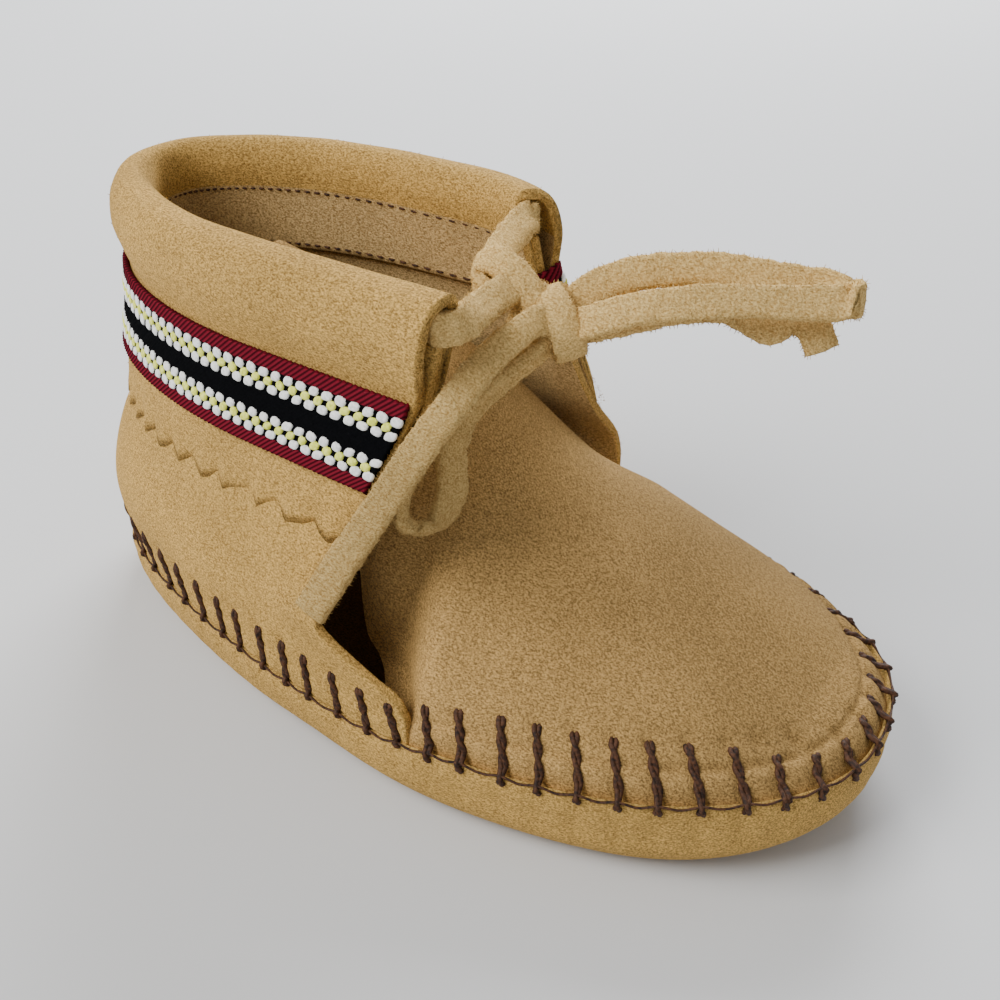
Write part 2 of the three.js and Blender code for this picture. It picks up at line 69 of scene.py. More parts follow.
vamp = {
    "back": 62, "crown": 1.6, "lapSewn": 0.1, "lapHeight": 6, "lapRun": 11, "wall": 1.5,
    "lapInset": {-1: 9.4, 1: 5}, "lapEnd": {-1: 82, 1: 90}, "columns": 170, "rows": 190,
    "within": (90, 0, 8), "cutEdge": 0.3, "edgeTurn": 0.012, "throatRow": 0.74, "foldRow": 0.8,
    "sewn": (76, 6), "freeRun": 8, "puckerTo": 1.6, "puckerMm": 10, "dentFrom": 6, "sideways": 0.9,
    "sidewaysMm": 9, "softDeep": 0.35, "softMm": 17, "softSeed": 3.1,
    "freeEdge": [(62, 0.7), (64, 0.42), (66, 0.25), (71, 0.16), (76, 0.012)], "rollDeep": 3, "rollWide": 0.3,
    "ridge": [(60, 57), (66, 54), (78, 43.4), (88, 36), (98, 31.4), (108, 27.6), (118, 23.4), (126, 19.6)],
}
# Tongue sections, tip last: x, top, half width, fall to the sides, middle
tongueRows = [
    (57.5, 56.6, 15, 8, 0.5), (52, 58.3, 12.8, 6, 1), (46.5, 60.2, 10.5, 5.5, 1),
    (41, 62.4, 7.5, 4, 1), (35, 65, 1.8, 0.8, 1),
]


def toFrame(point):
    return Vector(((point[0] - last["middleX"]) / 1000, (point[1] - last["middleY"]) / 1000, point[2] / 1000))


def fromFrame(place):
    return Vector((place.x * 1000 + last["middleX"], place.y * 1000 + last["middleY"], place.z * 1000))


def clamp01(t):
    return min(1.0, max(0.0, t))


def ease(t):
    t = clamp01(t)
    return t * t * (3 - 2 * t)


def ramp(x, span):
    # from 0 where the span starts to 1 at the end of its length
    return ease((x - span[0]) / span[1])


def bell(off, wide):
    return math.exp(-(off / wide) ** 2)


def between(a, b, t):
    return a + (b - a) * t


def readCurve(rows, at):
    # smooth curve through the rows, with no overshoot between them
    if at <= rows[0][0]:
        return rows[0][1]
    if at >= rows[-1][0]:
        return rows[-1][1]
    slope = [(b[1] - a[1]) / (b[0] - a[0]) for a, b in zip(rows, rows[1:])]
    i = next(k for k in range(len(slope)) if at <= rows[k + 1][0])

    def tangent(k):
        if k == 0 or k == len(slope):
            return slope[min(k, len(slope) - 1)]
        before, after = slope[k - 1], slope[k]
        return 0.0 if before * after <= 0 else 2 * before * after / (before + after)

    wide = rows[i + 1][0] - rows[i][0]
    t = (at - rows[i][0]) / wide
    rise = rows[i + 1][1] - rows[i][1]
    a = tangent(i) * wide - rise
    b = rise - tangent(i + 1) * wide
    return rows[i][1] + rise * t + t * (1 - t) * (a * (1 - t) + b * t)


def smoothPath(points, step):
    # points about one step apart on a smooth curve through the given ones
    points = [Vector(p) for p in points]
    out = []
    for i in range(len(points) - 1):
        p1, p2 = points[i], points[i + 1]
        p0 = points[i - 1] if i else p1 * 2 - p2
        p3 = points[i + 2] if i + 2 < len(points) else p2 * 2 - p1
        count = max(2, round((p2 - p1).length / step))
        for k in range(count):
            t = k / count
            out.append(0.5 * ((2 * p1) + (p2 - p0) * t + (2 * p0 - 5 * p1 + 4 * p2 - p3) * t * t
                              + (3 * p1 - p0 - 3 * p2 + p3) * t ** 3))
    return out + [points[-1]]


# Surfaces of the last: seam, collar, quarter wall, vamp and tongue
def seamRound(x):
    half = last["length"] / 2
    blunt = last["heelBlunt"] if x < half else last["toeBlunt"]
    return max(0.0, 1 - (abs(x - half) / half) ** blunt) ** (1 / blunt)


def middleY(x):
    return last["toeBend"] * (x / last["length"]) ** 2


def seamHalf(x, side):
    ball = last["ballRight"] if side < 0 else last["ballLeft"]
    widen = ease((x / last["length"] - last["widenFrom"]) / last["widenOver"])
    return (last["heelHalf"] + (ball - last["heelHalf"]) * widen) * seamRound(x)


def seamY(x, side):
    return middleY(x) + side * seamHalf(x, side)


def seamZ(x):
    return last["seamHeel"] + (last["seamToe"] - last["seamHeel"]) * x / last["length"]


def rimRaise(x, side):
    # the sole's turned-up edge laps over the vamp; on the inner side it does so mostly round the toe
    lap = rim["lip"] * ramp(x, rim["grow"])
    return lap if side < 0 else lap * between(rim["inner"], 1, ramp(x, rim["innerGrow"]))


def rimOut(x, side):
    # the same edge leans out beside the ball and stands upright round the toe
    return rim["out"] * rimRaise(x, side) * (1 - ramp(x, rim["upright"]))


def collarY(x, side):
    bow = math.sqrt(max(0.0, 1 - (1 - clamp01((x - collar["back"]) / collar["round"])) ** 2))
    nip = collar["nip"] * clamp01((x - collar["nipFrom"]) / collar["nipOver"]) ** 2 if side > 0 else 0
    return collar["shift"] - collar["turn"] * (x - collar["back"]) + side * (collar["half"] * bow - nip)


def crestZ(x):
    return collar["crest"] + collar["slope"] * (x - collar["back"])


def leanAt(up, turn):
    power = quarter["leanBack"] + (quarter["leanFront"] - quarter["leanBack"]) * turn * turn
    return 1 - max(0.0, 1 - up) ** power


def quarterFace(turn, up):
    # turn is -1 at the right front, 0 at the heel, 1 at the left front; up is 0 at the seam, 1 at the crest
    side = -1 if turn < 0 else 1
    lean = leanAt(up, turn)
    low = collar["front"] * turn * turn
    high = collar["back"] + (collar["front"] - collar["back"]) * turn * turn
    lowY = seamY(low, side)
    x = low + (high - low) * lean
    y = lowY + (collarY(high, side) - lowY) * lean
    z = seamZ(low) + (crestZ(high) - seamZ(low)) * up
    swell = quarter["swellBack"] + (quarter["swellFront"] - quarter["swellBack"]) * turn * turn
    swell *= (up / quarter["swellAt"] * math.exp(1 - up / quarter["swellAt"])) ** 2
    reach = quarter["heelReach"]
    out = Vector((min(0.0, low - reach) / reach ** 2, lowY / last["heelHalf"] ** 2)).normalized() * swell
    return Vector((x + out.x, y + out.y, z))


def quarterNormal(turn, up):
    step = 0.01
    along = quarterFace(turn + step, up) - quarterFace(turn - step, up)
    rise = quarterFace(turn, up + step) - quarterFace(turn, max(0.0, up - step))
    return rise.cross(along).normalized()


def frontTurn(up, side):
    back = collar["back"] * leanAt(up, side)
    x = readCurve(quarter["rightEdge"] if side < 0 else quarter["leftEdge"], up)
    return side * math.sqrt((x - back) / (collar["front"] - back))


def turnAlong(along, up):
    # along is 0 at the right front edge and 1 at the left one
    t = 2 * along - 1
    t = math.copysign(abs(t) ** quarter["spread"], t)
    return -t * frontTurn(up, -1) if t < 0 else t * frontTurn(up, 1)


def quarterPoint(along, up, out):
    turn = turnAlong(along, up)
    edge = min(along, 1 - along) / quarter["flareAlong"]
    stand = quarter["flare"] * math.exp(-edge ** 2 - ((up - quarter["flareUp"]) / quarter["flareTall"]) ** 2)
    return quarterFace(turn, up) + quarterNormal(turn, up) * (out + stand)


def cuffPoint(along, drop, out):
    x = collar["front"] * (2 * along - 1) ** 2
    return quarterPoint(along, 1 - drop / (crestZ(x) - seamZ(x)), out)


def vampTop(x):
    endX, endTop = vamp["ridge"][-1]
    if x <= endX:
        return readCurve(vamp["ridge"], x)
    return seamZ(x) + (endTop - seamZ(endX)) * (seamRound(x) / seamRound(endX))


def vampFace(x, turn):
    # turn runs from 0 at the right seam over the ridge to pi at the left seam
    side = -1 if turn < math.pi / 2 else 1
    rise = (vampTop(x) - seamZ(x)) * max(0.0, math.sin(turn)) ** (2 / vamp["crown"])
    lap = vamp["lapSewn"] + (1 - vamp["lapSewn"]) * ease(rise / vamp["lapHeight"])
    tuck = vamp["lapInset"][side] * ease((vamp["lapEnd"][side] - x) / vamp["lapRun"]) * lap
    y = middleY(x) + side * (seamHalf(x, side) - tuck) * abs(math.cos(turn))
    return Vector((x, y, seamZ(x) + quarter["seamGap"] + rise))


def vampZ(x, y):
    side = -1 if y < middleY(x) else 1
    share = clamp01(abs(y - middleY(x)) / max(0.01, seamHalf(x, side)))
    rise = (vampTop(x) - seamZ(x)) * (1 - share * share) ** (1 / vamp["crown"])
    return seamZ(x) + quarter["seamGap"] + rise


def tongueFace(share, turn):
    rows = [[(k, row[column]) for k, row in enumerate(tongueRows)] for column in range(5)]
    x, top, half, fall, mid = (readCurve(column, share * (len(tongueRows) - 1)) for column in rows)
    across = -math.cos(turn)
    return Vector((x, mid + half * across, top - fall * across * across))


# Walk round the seam from the heel along the right side to the toe and back along the left
def makeSeamWalk(count):
    half = last["length"] / 2
    angles = [math.pi * k / count for k in range(count + 1)]
    right = [(half * (1 - math.cos(a)), -1) for a in angles]
    left = [(half * (1 + math.cos(a)), 1) for a in angles[1:]]
    walk, run = [], 0.0
    for x, side in right + left:
        point = Vector((x, seamY(x, side), seamZ(x)))
        run += (point - walk[-1]["point"]).length if walk else 0
        walk.append({"run": run, "side": side, "point": point})
    return walk


seamSteps, seamReach = 400, 3
seamWalk = makeSeamWalk(seamSteps)
seamRuns = [spot["run"] for spot in seamWalk]
seamLength = seamRuns[-1]
seamTree = kdtree.KDTree(len(seamWalk))
for index, spot in enumerate(seamWalk):
    seamTree.insert((spot["point"].x, spot["point"].y, 0), index)
seamTree.balance()


def seamAt(run):
    # place on the seam, its direction and the way in to the shoe
    run %= seamLength
    low = min(len(seamWalk) - 2, bisect.bisect(seamRuns, run) - 1)
    a, b = seamWalk[low], seamWalk[low + 1]
    t = (run - a["run"]) / max(1e-6, b["run"] - a["run"])
    near = seamWalk[max(0, low - seamReach)]["point"]
    far = seamWalk[min(len(seamWalk) - 1, low + 1 + seamReach)]["point"]
    along = (far - near).normalized()
    inward = Vector((-along.y, along.x, 0)).normalized()
    return {"point": a["point"].lerp(b["point"], t), "side": a["side"], "along": along, "inward": inward}


# Distances in metres under which doubled corners are joined
weld = {"grid": 2e-6, "tray": 2e-5, "tube": 1e-6}
# A thong's section is squared, and a round thread's face may point any way that no thread runs
tube = {"square": 0.5, "face": (0.31, 0.17, 0.93)}


# Mesh and object helpers
def newPiece(name, mesh, materials):
    data = bpy.data.meshes.new(name)
    mesh.to_mesh(data)
    mesh.free()
    data.polygons.foreach_set("use_smooth", [True] * len(data.polygons))
    piece = bpy.data.objects.new(name, data)
    bpy.context.scene.collection.objects.link(piece)
    for material in materials:
        data.materials.append(material)
    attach(piece, "root")
    return piece


def faceOutward(mesh, within):
    # turn the faces away from a point inside
    mesh.normal_update()
    inside = toFrame(within)
    facing = sum(f.normal.dot(f.calc_center_median() - inside) * f.calc_area() for f in mesh.faces)
    if facing < 0:
        bmesh.ops.reverse_faces(mesh, faces=mesh.faces)


def surfaceGrid(setting, place):
    # a grid laid on a surface function of two shares
    mesh = bmesh.new()
    bmesh.ops.create_grid(mesh, x_segments=setting["columns"], y_segments=setting["rows"], size=1)
    for vertex in mesh.verts:
        vertex.co = toFrame(place((vertex.co.x + 1) / 2, (vertex.co.y + 1) / 2))
    bmesh.ops.remove_doubles(mesh, verts=mesh.verts, dist=weld["grid"])
    faceOutward(mesh, setting["within"])
    return mesh


def addWall(piece, thick, edge):
    wall = piece.modifiers.new("wall", "SOLIDIFY")
    wall.thickness = thick / 1000
    wall.offset = -1
    if edge:
        soft = piece.modifiers.new("cut edge", "BEVEL")
        soft.width = edge / 1000
        soft.segments = 2
        soft.limit_method = "ANGLE"
        soft.angle_limit = math.radians(50)


def addTube(mesh, path, radius, sides, flat=None):
    # tube round a path in the last's millimetres; flat gives the way that a thong's flat faces along it
    rings = len(path)
    made = bmesh.ops.create_grid(mesh, x_segments=sides, y_segments=rings - 1, size=1)["verts"]
    frames = []
    for i, point in enumerate(path):
        along = (path[min(rings - 1, i + 1)] - path[max(0, i - 1)]).normalized()
        face = Vector(flat(i / (rings - 1)) if flat else tube["face"])
        wide = along.cross(face).normalized()
        frames.append((point, wide, wide.cross(along).normalized()))
    for vertex in made:
        turn = (vertex.co.x + 1) * math.pi
        i = round((vertex.co.y + 1) / 2 * (rings - 1))
        point, wide, tall = frames[i]
        a, b = radius(i / (rings - 1))
        c, s = math.cos(turn), math.sin(turn)
        if flat:
            c, s = (math.copysign(abs(t) ** tube["square"], t) for t in (c, s))
        vertex.co = toFrame(point + wide * (a * c) + tall * (b * s))


def closeTubes(mesh):
    bmesh.ops.remove_doubles(mesh, verts=mesh.verts, dist=weld["tube"])
    bmesh.ops.holes_fill(mesh, edges=[e for e in mesh.edges if e.is_boundary], sides=0)
    bmesh.ops.recalc_face_normals(mesh, faces=mesh.faces)


# Materials
def hexColour(code):
    parts = [int(code[k:k + 2], 16) / 255 for k in (1, 3, 5)]
    return tuple(c / 12.92 if c <= 0.04045 else ((c + 0.055) / 1.055) ** 2.4 for c in parts) + (1.0,)


def fillInputs(tree, node, inputs):
    # a socket is linked, and any other value is set on the input itself
    for name, value in inputs.items():
        if isinstance(value, bpy.types.NodeSocket):
            tree.links.new(value, node.inputs[name])
        else:
            node.inputs[name].default_value = value


def addNode(tree, kind, settings, inputs):
    node = tree.nodes.new("ShaderNode" + kind)
    for name, value in settings.items():
        setattr(node, name, value)
    fillInputs(tree, node, inputs)
    return node


def addNoise(tree, place, grainMm, detail, rough=0.5):
    inputs = {"Vector": place, "Scale": 1000 / grainMm, "Detail": detail, "Roughness": rough}
    return addNode(tree, "TexNoise", {}, inputs).outputs["Fac"]


def addRange(tree, value, low, high, toLow=0.0, toHigh=1.0):
    inputs = {"Value": value, "From Min": low, "From Max": high, "To Min": toLow, "To Max": toHigh}
    return addNode(tree, "MapRange", {}, inputs).outputs["Result"]


def addMix(tree, factor, first, second):
    # the colour inputs of a Mix node share their names with others, so they go by number
    inputs = {"Factor": factor, 6: first, 7: second}
    return addNode(tree, "Mix", {"data_type": "RGBA"}, inputs).outputs[2]


def addMath(tree, operation, *values):
    return addNode(tree, "Math", {"operation": operation}, dict(enumerate(values))).outputs[0]


def addBump(tree, height, strength, deepMm, **below):
    inputs = {"Height": height, "Strength": strength, "Distance": deepMm / 1000, **below}
    return addNode(tree, "Bump", {}, inputs).outputs["Normal"]


def newMaterial(name):
    material = bpy.data.materials.new(name)
    material.use_nodes = True
    return material, material.node_tree, material.node_tree.nodes["Principled BSDF"]


# Split cowhide suede: a raised nap that scatters light, with brushed lighter and darker patches
def makeSuede(name, look):
    material, tree, shader = newMaterial(name)
    place = addNode(tree, "TexCoord", {}, {}).outputs["Object"]
    turned = {"Vector": place, "Rotation": (0, 0, look["combed"]), "Scale": look["combScale"]}
    combed = addNode(tree, "Mapping", {}, turned).outputs["Vector"]
    fibre = addNoise(tree, combed, look["fibreMm"], 4.0, 0.8)
    tuft = addNoise(tree, place, look["tuftMm"], 3.0, 0.6)
    brushed = addNoise(tree, place, look["brushedMm"], 2.0)
    speckle = addRange(tree, fibre, *look["speckle"])
    nap = addMix(tree, speckle, hexColour(look["shaded"]), hexColour(look["rubbed"]))
    patch = addRange(tree, brushed, *look["patches"], look["patchLow"], look["patchHigh"])
    reach = {"Vector": place, "Location": look["darkBallAt"], "Scale": [look["darkBallReach"]] * 3}
    darkBall = addNode(tree, "Mapping", {"vector_type": "TEXTURE"}, reach).outputs["Vector"]
    ball = addNode(tree, "TexGradient", {"gradient_type": "SPHERICAL"}, {"Vector": darkBall}).outputs["Fac"]
    darker = addRange(tree, ball, 0.0, look["darkBallFull"], 1.0, look["darkBallTone"])
    value = addMath(tree, "MULTIPLY", patch, darker)
    coarse = addBump(tree, tuft, look["tuftBump"], 0.6)
    fillInputs(tree, shader, {
        "Base Color": addNode(tree, "HueSaturation", {}, {"Color": nap, "Value": value}).outputs["Color"],
        "Normal": addBump(tree, fibre, look["fibreBump"], 0.3, Normal=coarse),
        "Roughness": 0.95, "Specular IOR Level": 0.15,
        "Sheen Weight": 0.1, "Sheen Roughness": 0.5, "Sheen Tint": hexColour("#d8ac66"),
    })
    return material


# The darker patch is a ball round a place in the frame, in metres; a tone of 1 leaves it out
suedeLook = {
    "shaded": "#846534", "rubbed": "#e8bc6b", "fibreMm": 0.24, "tuftMm": 1.0, "brushedMm": 22,
    "speckle": (0.4, 0.6), "patches": (0.35, 0.65), "patchLow": 0.92, "patchHigh": 1.09,
    "fibreBump": 0.9, "tuftBump": 0.14, "combed": 0.3, "combScale": (0.6, 1.0, 1.0),
    "darkBallAt": (0.056, 0.006, 0.02), "darkBallReach": 0.042, "darkBallFull": 0.6, "darkBallTone": 1.0,
}
suede = makeSuede("tanSuede", suedeLook)
vampSuede = makeSuede("vampSuede", {
    **suedeLook, "shaded": "#7b6039", "rubbed": "#d9af6c", "combed": 0.9, "brushedMm": 26,
    "patchLow": 0.88, "patchHigh": 1.1, "darkBallTone": 0.72,
})
# The lace's long end is painted darker towards its tip: partly its own tone, partly painted shade
thongSuede = makeSuede("thongSuede", {
    **suedeLook, "shaded": "#bf9656", "rubbed": "#fedb91", "tuftBump": 0.6,
    "darkBallAt": (-0.0024, -0.0325, 0.0302), "darkBallReach": 0.056, "darkBallTone": 0.7,
})
# Painted shade: the insole's suede is dark so that the inside of the shoe, seen past the flap, reads as deep
# shade
innerSuede = makeSuede("innerSuede", {**suedeLook, "shaded": "#3e2d18", "rubbed": "#765a35"})
# The hide's flesh side, inside the shoe, is greyer
fleshSide = makeSuede("fleshSide", {**suedeLook, "shaded": "#846a42", "rubbed": "#e4c288"})

threadGrain = 0.5


# Waxed polyester thread: two plied strands with a slight gloss on the ply
def makeThread(name, dark, pale):
    material, tree, shader = newMaterial(name)
    place = addNode(tree, "TexCoord", {}, {}).outputs["Object"]
    fibre = addNoise(tree, place, threadGrain, 3.0)
    ply = addRange(tree, fibre, 0.35, 0.65)
    fillInputs(tree, shader, {
        "Base Color": addMix(tree, ply, hexColour(dark), hexColour(pale)),
        "Normal": addBump(tree, fibre, 0.6, 0.2), "Roughness": 0.7, "Specular IOR Level": 0.3,
    })
    return material


brownThread = makeThread("brownThread", "#1e0f08", "#54341f")
whiteThread = makeThread("whiteThread", "#dcdedc", "#fdfdfb")
yellowThread = makeThread("yellowThread", "#d0d648", "#f4f87c")


# Woven braid ground: red cotton twill edges and a black middle, read along the band's own UV in metres
def makeBraidGround(name, look):
    material, tree, shader = newMaterial(name)
    coords = addNode(tree, "TexCoord", {}, {}).outputs
    split = addNode(tree, "SeparateXYZ", {}, {"Vector": coords["UV"]}).outputs
    edge = addMath(tree, "GREATER_THAN", addMath(tree, "ABSOLUTE", split["Y"]), look["redFrom"] / 1000)
    fibre = addNoise(tree, coords["Object"], threadGrain, 2.0)
    # The red is painted darker in the troughs between the twill ribs and lighter on their crests: painted
    # shade on the ribs
    diagonal = addMath(tree, "ADD", split["X"], split["Y"])
    wave = addMath(tree, "SINE", addMath(tree, "MULTIPLY", diagonal, 2000 * math.pi / look["ribMm"]))
    ribs = addRange(tree, wave, -1.0, 1.0)
    red = addMix(tree, ribs, hexColour(look["redDark"]), hexColour(look["red"]))
    black = addMix(tree, fibre, hexColour(look["black"]), hexColour(look["blackPale"]))
    fillInputs(tree, shader, {
        "Base Color": addMix(tree, edge, black, red), "Normal": addBump(tree, fibre, 0.5, 0.2),
        "Roughness": 0.95, "Specular IOR Level": 0.05,
    })
    return material


print("materials made")

# Camera where the photograph was taken from, turned to the one shoe
camera = {"from": (81.18, -117.96, 136.72), "to": (6.76, 1.61, 31.2), "lens": 41.6}
lens = bpy.data.cameras.new("camera")
lens.lens = camera["lens"]
lens.sensor_width = 36
lens.clip_start = 0.005
shot = bpy.data.objects.new("camera", lens)
shot.location = Vector(camera["from"]) / 1000
shot.rotation_euler = (Vector(camera["to"]) - Vector(camera["from"])).to_track_quat("-Z", "Y").to_euler()
bpy.context.scene.collection.objects.link(shot)
bpy.context.scene.camera = shot

# Lace: suede thong with a soft rough edge, its width and thickness waving a little
thong = {
    "width": 4.3, "thick": 1.9, "sides": 16, "step": 0.6, "rough": 0.28, "roughMm": 0.8, "fineTimes": 2.4,
    "fineShare": 0.6, "waveSteps": 9, "waveSeed": 0.37, "waveWide": 0.09, "waveThick": 0.08, "fibres": 0.9,
    "fibreLong": 0.55,
}
# Loose fibres of the split hide, standing on cut edges and on the thong
fibre = {"root": 0.06, "tip": 0.025, "sides": 3, "stray": 0.7, "long": (0.3, 1.1), "stand": 0.4, "batch": 150}


def makeFuzz(name, spots, fibreLong, material):
    # a fibre at each spot, a place and a direction; in small batches, as operators slow down on a full mesh
    whole = bmesh.new()
    batchData = bpy.data.meshes.new("batch")
    for first in range(0, len(spots), fibre["batch"]):
        batch = bmesh.new()
        for place, out in spots[first:first + fibre["batch"]]:
            way = (out + Vector([random.gauss(0, fibre["stray"]) for axis in range(3)])).normalized()
            long = fibreLong * random.uniform(*fibre["long"]) / 1000
            turned = way.to_track_quat("Z", "Y").to_matrix().to_4x4()
            stand = Matrix.Translation(place + way * (fibre["stand"] * long)) @ turned
            bmesh.ops.create_cone(batch, cap_ends=False, segments=fibre["sides"], depth=long, matrix=stand,
                                  radius1=fibre["root"] / 1000, radius2=fibre["tip"] / 1000)
        batch.to_mesh(batchData)
        batch.free()
        whole.from_mesh(batchData)
    bpy.data.meshes.remove(batchData)
    piece = newPiece(name, whole, [material])


laceFibres = []


def makeThong(name, runs, node, widths=(thong["width"], thong["width"])):
    # each run is a path and the way that the flat of the thong faces along it; widths are its two ends'
    mesh = bmesh.new()
    for path, face in runs:
        def size(share, count=len(path)):
            wave = noise.noise(Vector((share * count / thong["waveSteps"], count * thong["waveSeed"], 0)))
            wide = between(*widths, share) / 2 * (1 + thong["waveWide"] * wave)
            return wide, thong["thick"] / 2 * (1 - thong["waveThick"] * wave)
        addTube(mesh, path, size, thong["sides"], face)
    closeTubes(mesh)
    mesh.normal_update()
    for vertex in mesh.verts:
        coarse = noise.noise(vertex.co * (1000 / thong["roughMm"]))
        fine = noise.noise(vertex.co * (1000 * thong["fineTimes"] / thong["roughMm"]))
        vertex.co += vertex.normal * ((coarse + thong["fineShare"] * fine) * thong["rough"] / 1000)
        if random.random() < thong["fibres"]:
            laceFibres.append((vertex.co.copy(), vertex.normal.copy()))
    piece = newPiece(name, mesh, [thongSuede])
    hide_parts(node)
    return piece


def pathLength(path):
    return sum((b - a).length for a, b in zip(path, path[1:])) / 1000


def facing(*stops):
    # direction that the flat of a thong faces, given at a few shares of its length
    def at(share):
        for (s0, f0), (s1, f1) in zip(stops, stops[1:]):
            if share <= s1:
                return Vector(f0).lerp(Vector(f1), ease((share - s0) / (s1 - s0)))
        return Vector(stops[-1][1])
    return at


toCamera = (0.42, -0.66, 0.62)
tunnel = {"out": -0.4, "drop": 4.2, "stations": 45}
tunnelPath = [cuffPoint(k / (tunnel["stations"] - 1), tunnel["drop"], tunnel["out"])
              for k in range(tunnel["stations"])]
nearStrand = [(77.4, 1.6, 68.4), (78.2, -1, 70.2), (78.9, -5.6, 71.2), (78.6, -9.4, 71.1),
              (79.2, -13.4, 71.6), (79.9, -16.2, 71.9), (79.4, -18.4, 72), (77.4, -19.6, 72)]
farStrand = [(68.6, 15.4, 71.6), (70.4, 14.2, 72.2), (71.2, 11.6, 72.4), (71.6, 8, 71.9), (72.2, 4.4, 71.4),
             (73, 1.4, 71), (73.4, -0.6, 70.8), (74.6, -2.8, 70), (76.6, -4.2, 68.6)]
# The far strand's hood over the near strand, before it goes under and into the bow
hood = [(84.4, -4, 67.6), (82, -3.6, 69.8), (79.6, -3, 71.6), (76.8, -2.2, 72.8), (74.2, -1.8, 72.6),
        (72.9, -2, 71.4), (73.3, -2.8, 70.2), (75, -3.6, 69.6), (77.6, -4.4, 68.8)]
makeThong("collarLace", [
    (smoothPath(nearStrand, thong["step"]),
     facing((0, (0.3, -0.3, 0.9)), (0.25, toCamera), (0.62, toCamera), (0.78, (0.75, -0.5, 0.4)),
            (0.9, (0.6, -0.8, 0.1)), (1, (0.1, -1, 0)))),
    (smoothPath(tunnelPath, thong["step"]),
     facing((0, (0.1, -1, 0)), (0.25, (-0.4, -1, 0)), (0.5, (-1, 0, 0)), (0.75, (-0.3, 1, 0)),
            (1, (0.2, 1, 0)))),
    (smoothPath(farStrand, thong["step"]),
     facing((0, (0.2, 1, 0.2)), (0.1, (0.8, 0.5, 0.3)), (0.24, toCamera), (0.8, toCamera),
            (1, (0.5, -0.7, 0.5)))),
    (smoothPath(hood, thong["step"]),
     facing((0, (0.6, -0.5, 0.62)), (0.2, (0.5, -0.5, 0.7)), (0.4, (0.05, -0.5, 0.87)),
            (0.56, (-0.6, -0.5, 0.62)), (0.72, (-0.85, -0.5, -0.1)), (0.88, (-0.2, -0.8, -0.6)),
            (1, (0, -0.7, -0.7)))),
], "lace_collar")

# Bow: strand by strand, from the knot outwards
bow = {
    "lace_loop_far": {
        "path": [(84.8, -2, 67.2), (86.2, -0.2, 69.2), (88.2, 2.4, 71.2), (91.9, 5.6, 72.4),
                 (97.8, 9.6, 72.8), (105, 12.8, 72.4), (111.2, 14.8, 71.9), (114.4, 15, 71.9),
                 (116.6, 14.2, 72.1), (117.5, 12.9, 72.4), (117, 11.4, 72.6), (115, 10.2, 72.4),
                 (111.1, 8.2, 72.3), (105.4, 5.2, 72.3), (100.3, 2.4, 71.9), (95.1, -0.6, 71),
                 (90.7, -2.6, 69.3), (86, -2.6, 66.6)],
        "face": facing((0, toCamera), (0.44, toCamera), (0.52, (0.85, 0.53, 0)), (0.6, (-0.42, 0.66, -0.62)),
                       (1, (-0.42, 0.66, -0.62))),
        "end": "object", "lay": "loose",
    },
    "lace_loop_near": {
        "path": [(84, -2.4, 65), (80.4, -4.4, 61), (76.9, -11, 56.8), (76.3, -14.4, 52.4),
                 (77.4, -16.5, 46.6), (76.6, -18.6, 42.4), (74.2, -21, 42), (73.2, -22.4, 45),
                 (74.4, -21.2, 50), (76.6, -18.9, 54.8), (79, -14.6, 59.4), (82.2, -8, 63),
                 (84.6, -3.4, 65.4)],
        "face": facing((0, (0.7, -0.4, 0.3)), (0.36, (0.85, -0.3, 0.3)), (0.47, (0.6, -0.3, -0.7)),
                       (0.54, (-0.3, -0.3, -0.9)), (0.62, (-0.85, -0.4, 0)), (1, (-0.7, -0.5, 0.2))),
        "end": "object", "lay": "hanging",
    },
    "lace_end_near": {
        "path": [(85.2, -2.6, 67.2), (83.7, -6.6, 68.7), (81.4, -13, 66.2), (81, -18.4, 64.2),
                 (80.2, -21.8, 62), (77.1, -23.4, 56.4), (73.1, -24.5, 49), (69.1, -26.2, 41.7),
                 (65.8, -29, 34.8), (63.9, -31.6, 30.2)],
        "face": facing((0, toCamera), (0.4, (0.4, -0.75, 0.5)), (0.7, (0.3, -0.9, 0.3)),
                       (1, (0.16, -0.88, 0.44))),
        "end": "bare", "lay": "hanging", "widths": (3.7, 4.9),
    },
    "lace_end_far": {
        "path": [(84.5, -2.2, 65.6), (90.9, 0.8, 67.5), (97.4, 5, 69.3), (102.7, 8, 69.7), (105.4, 9.4, 68.4),
                 (108.2, 9.8, 67.4), (109.8, 11.4, 68.5), (111.6, 12.2, 68.4), (113.5, 12, 67),
                 (114.7, 11.6, 65.2)],
        "face": facing((0, toCamera), (0.8, toCamera), (1, (0.6, -0.7, 0.3))),
        "end": "bare", "lay": "loose",
    },
}
for node, strand in bow.items():
    strand["path"] = smoothPath(strand["path"], thong["step"])
    name = "".join(word.capitalize() if k else word for k, word in enumerate(node.split("_")))
    widths = strand.get("widths", (thong["width"], thong["width"]))
    strand["piece"] = makeThong(name, [(strand["path"], strand["face"])], node, widths)

# Knot: the thong wrapped round itself, each turn given by its middle, its axis and its two radii
knot = {"steps": 44, "turned": 1.1, "start": 0.3, "drift": 0.7}
knotTurns = [
    {"middle": (84.9, -2, 66.8), "axis": (0.69, 0.68, 0.28), "across": toCamera, "wide": 3.1, "tall": 4.0},
    {"middle": (81.4, -2.2, 67.4), "axis": (0.85, 0.1, -0.5), "across": (0, -1, 0.2), "wide": 2.7,
     "tall": 2.8},
]
knotRuns = []


def outFrom(middle, ring):
    # the flat of a turn faces away from its middle
    return lambda share: ring[round(share * knot["steps"])] - middle


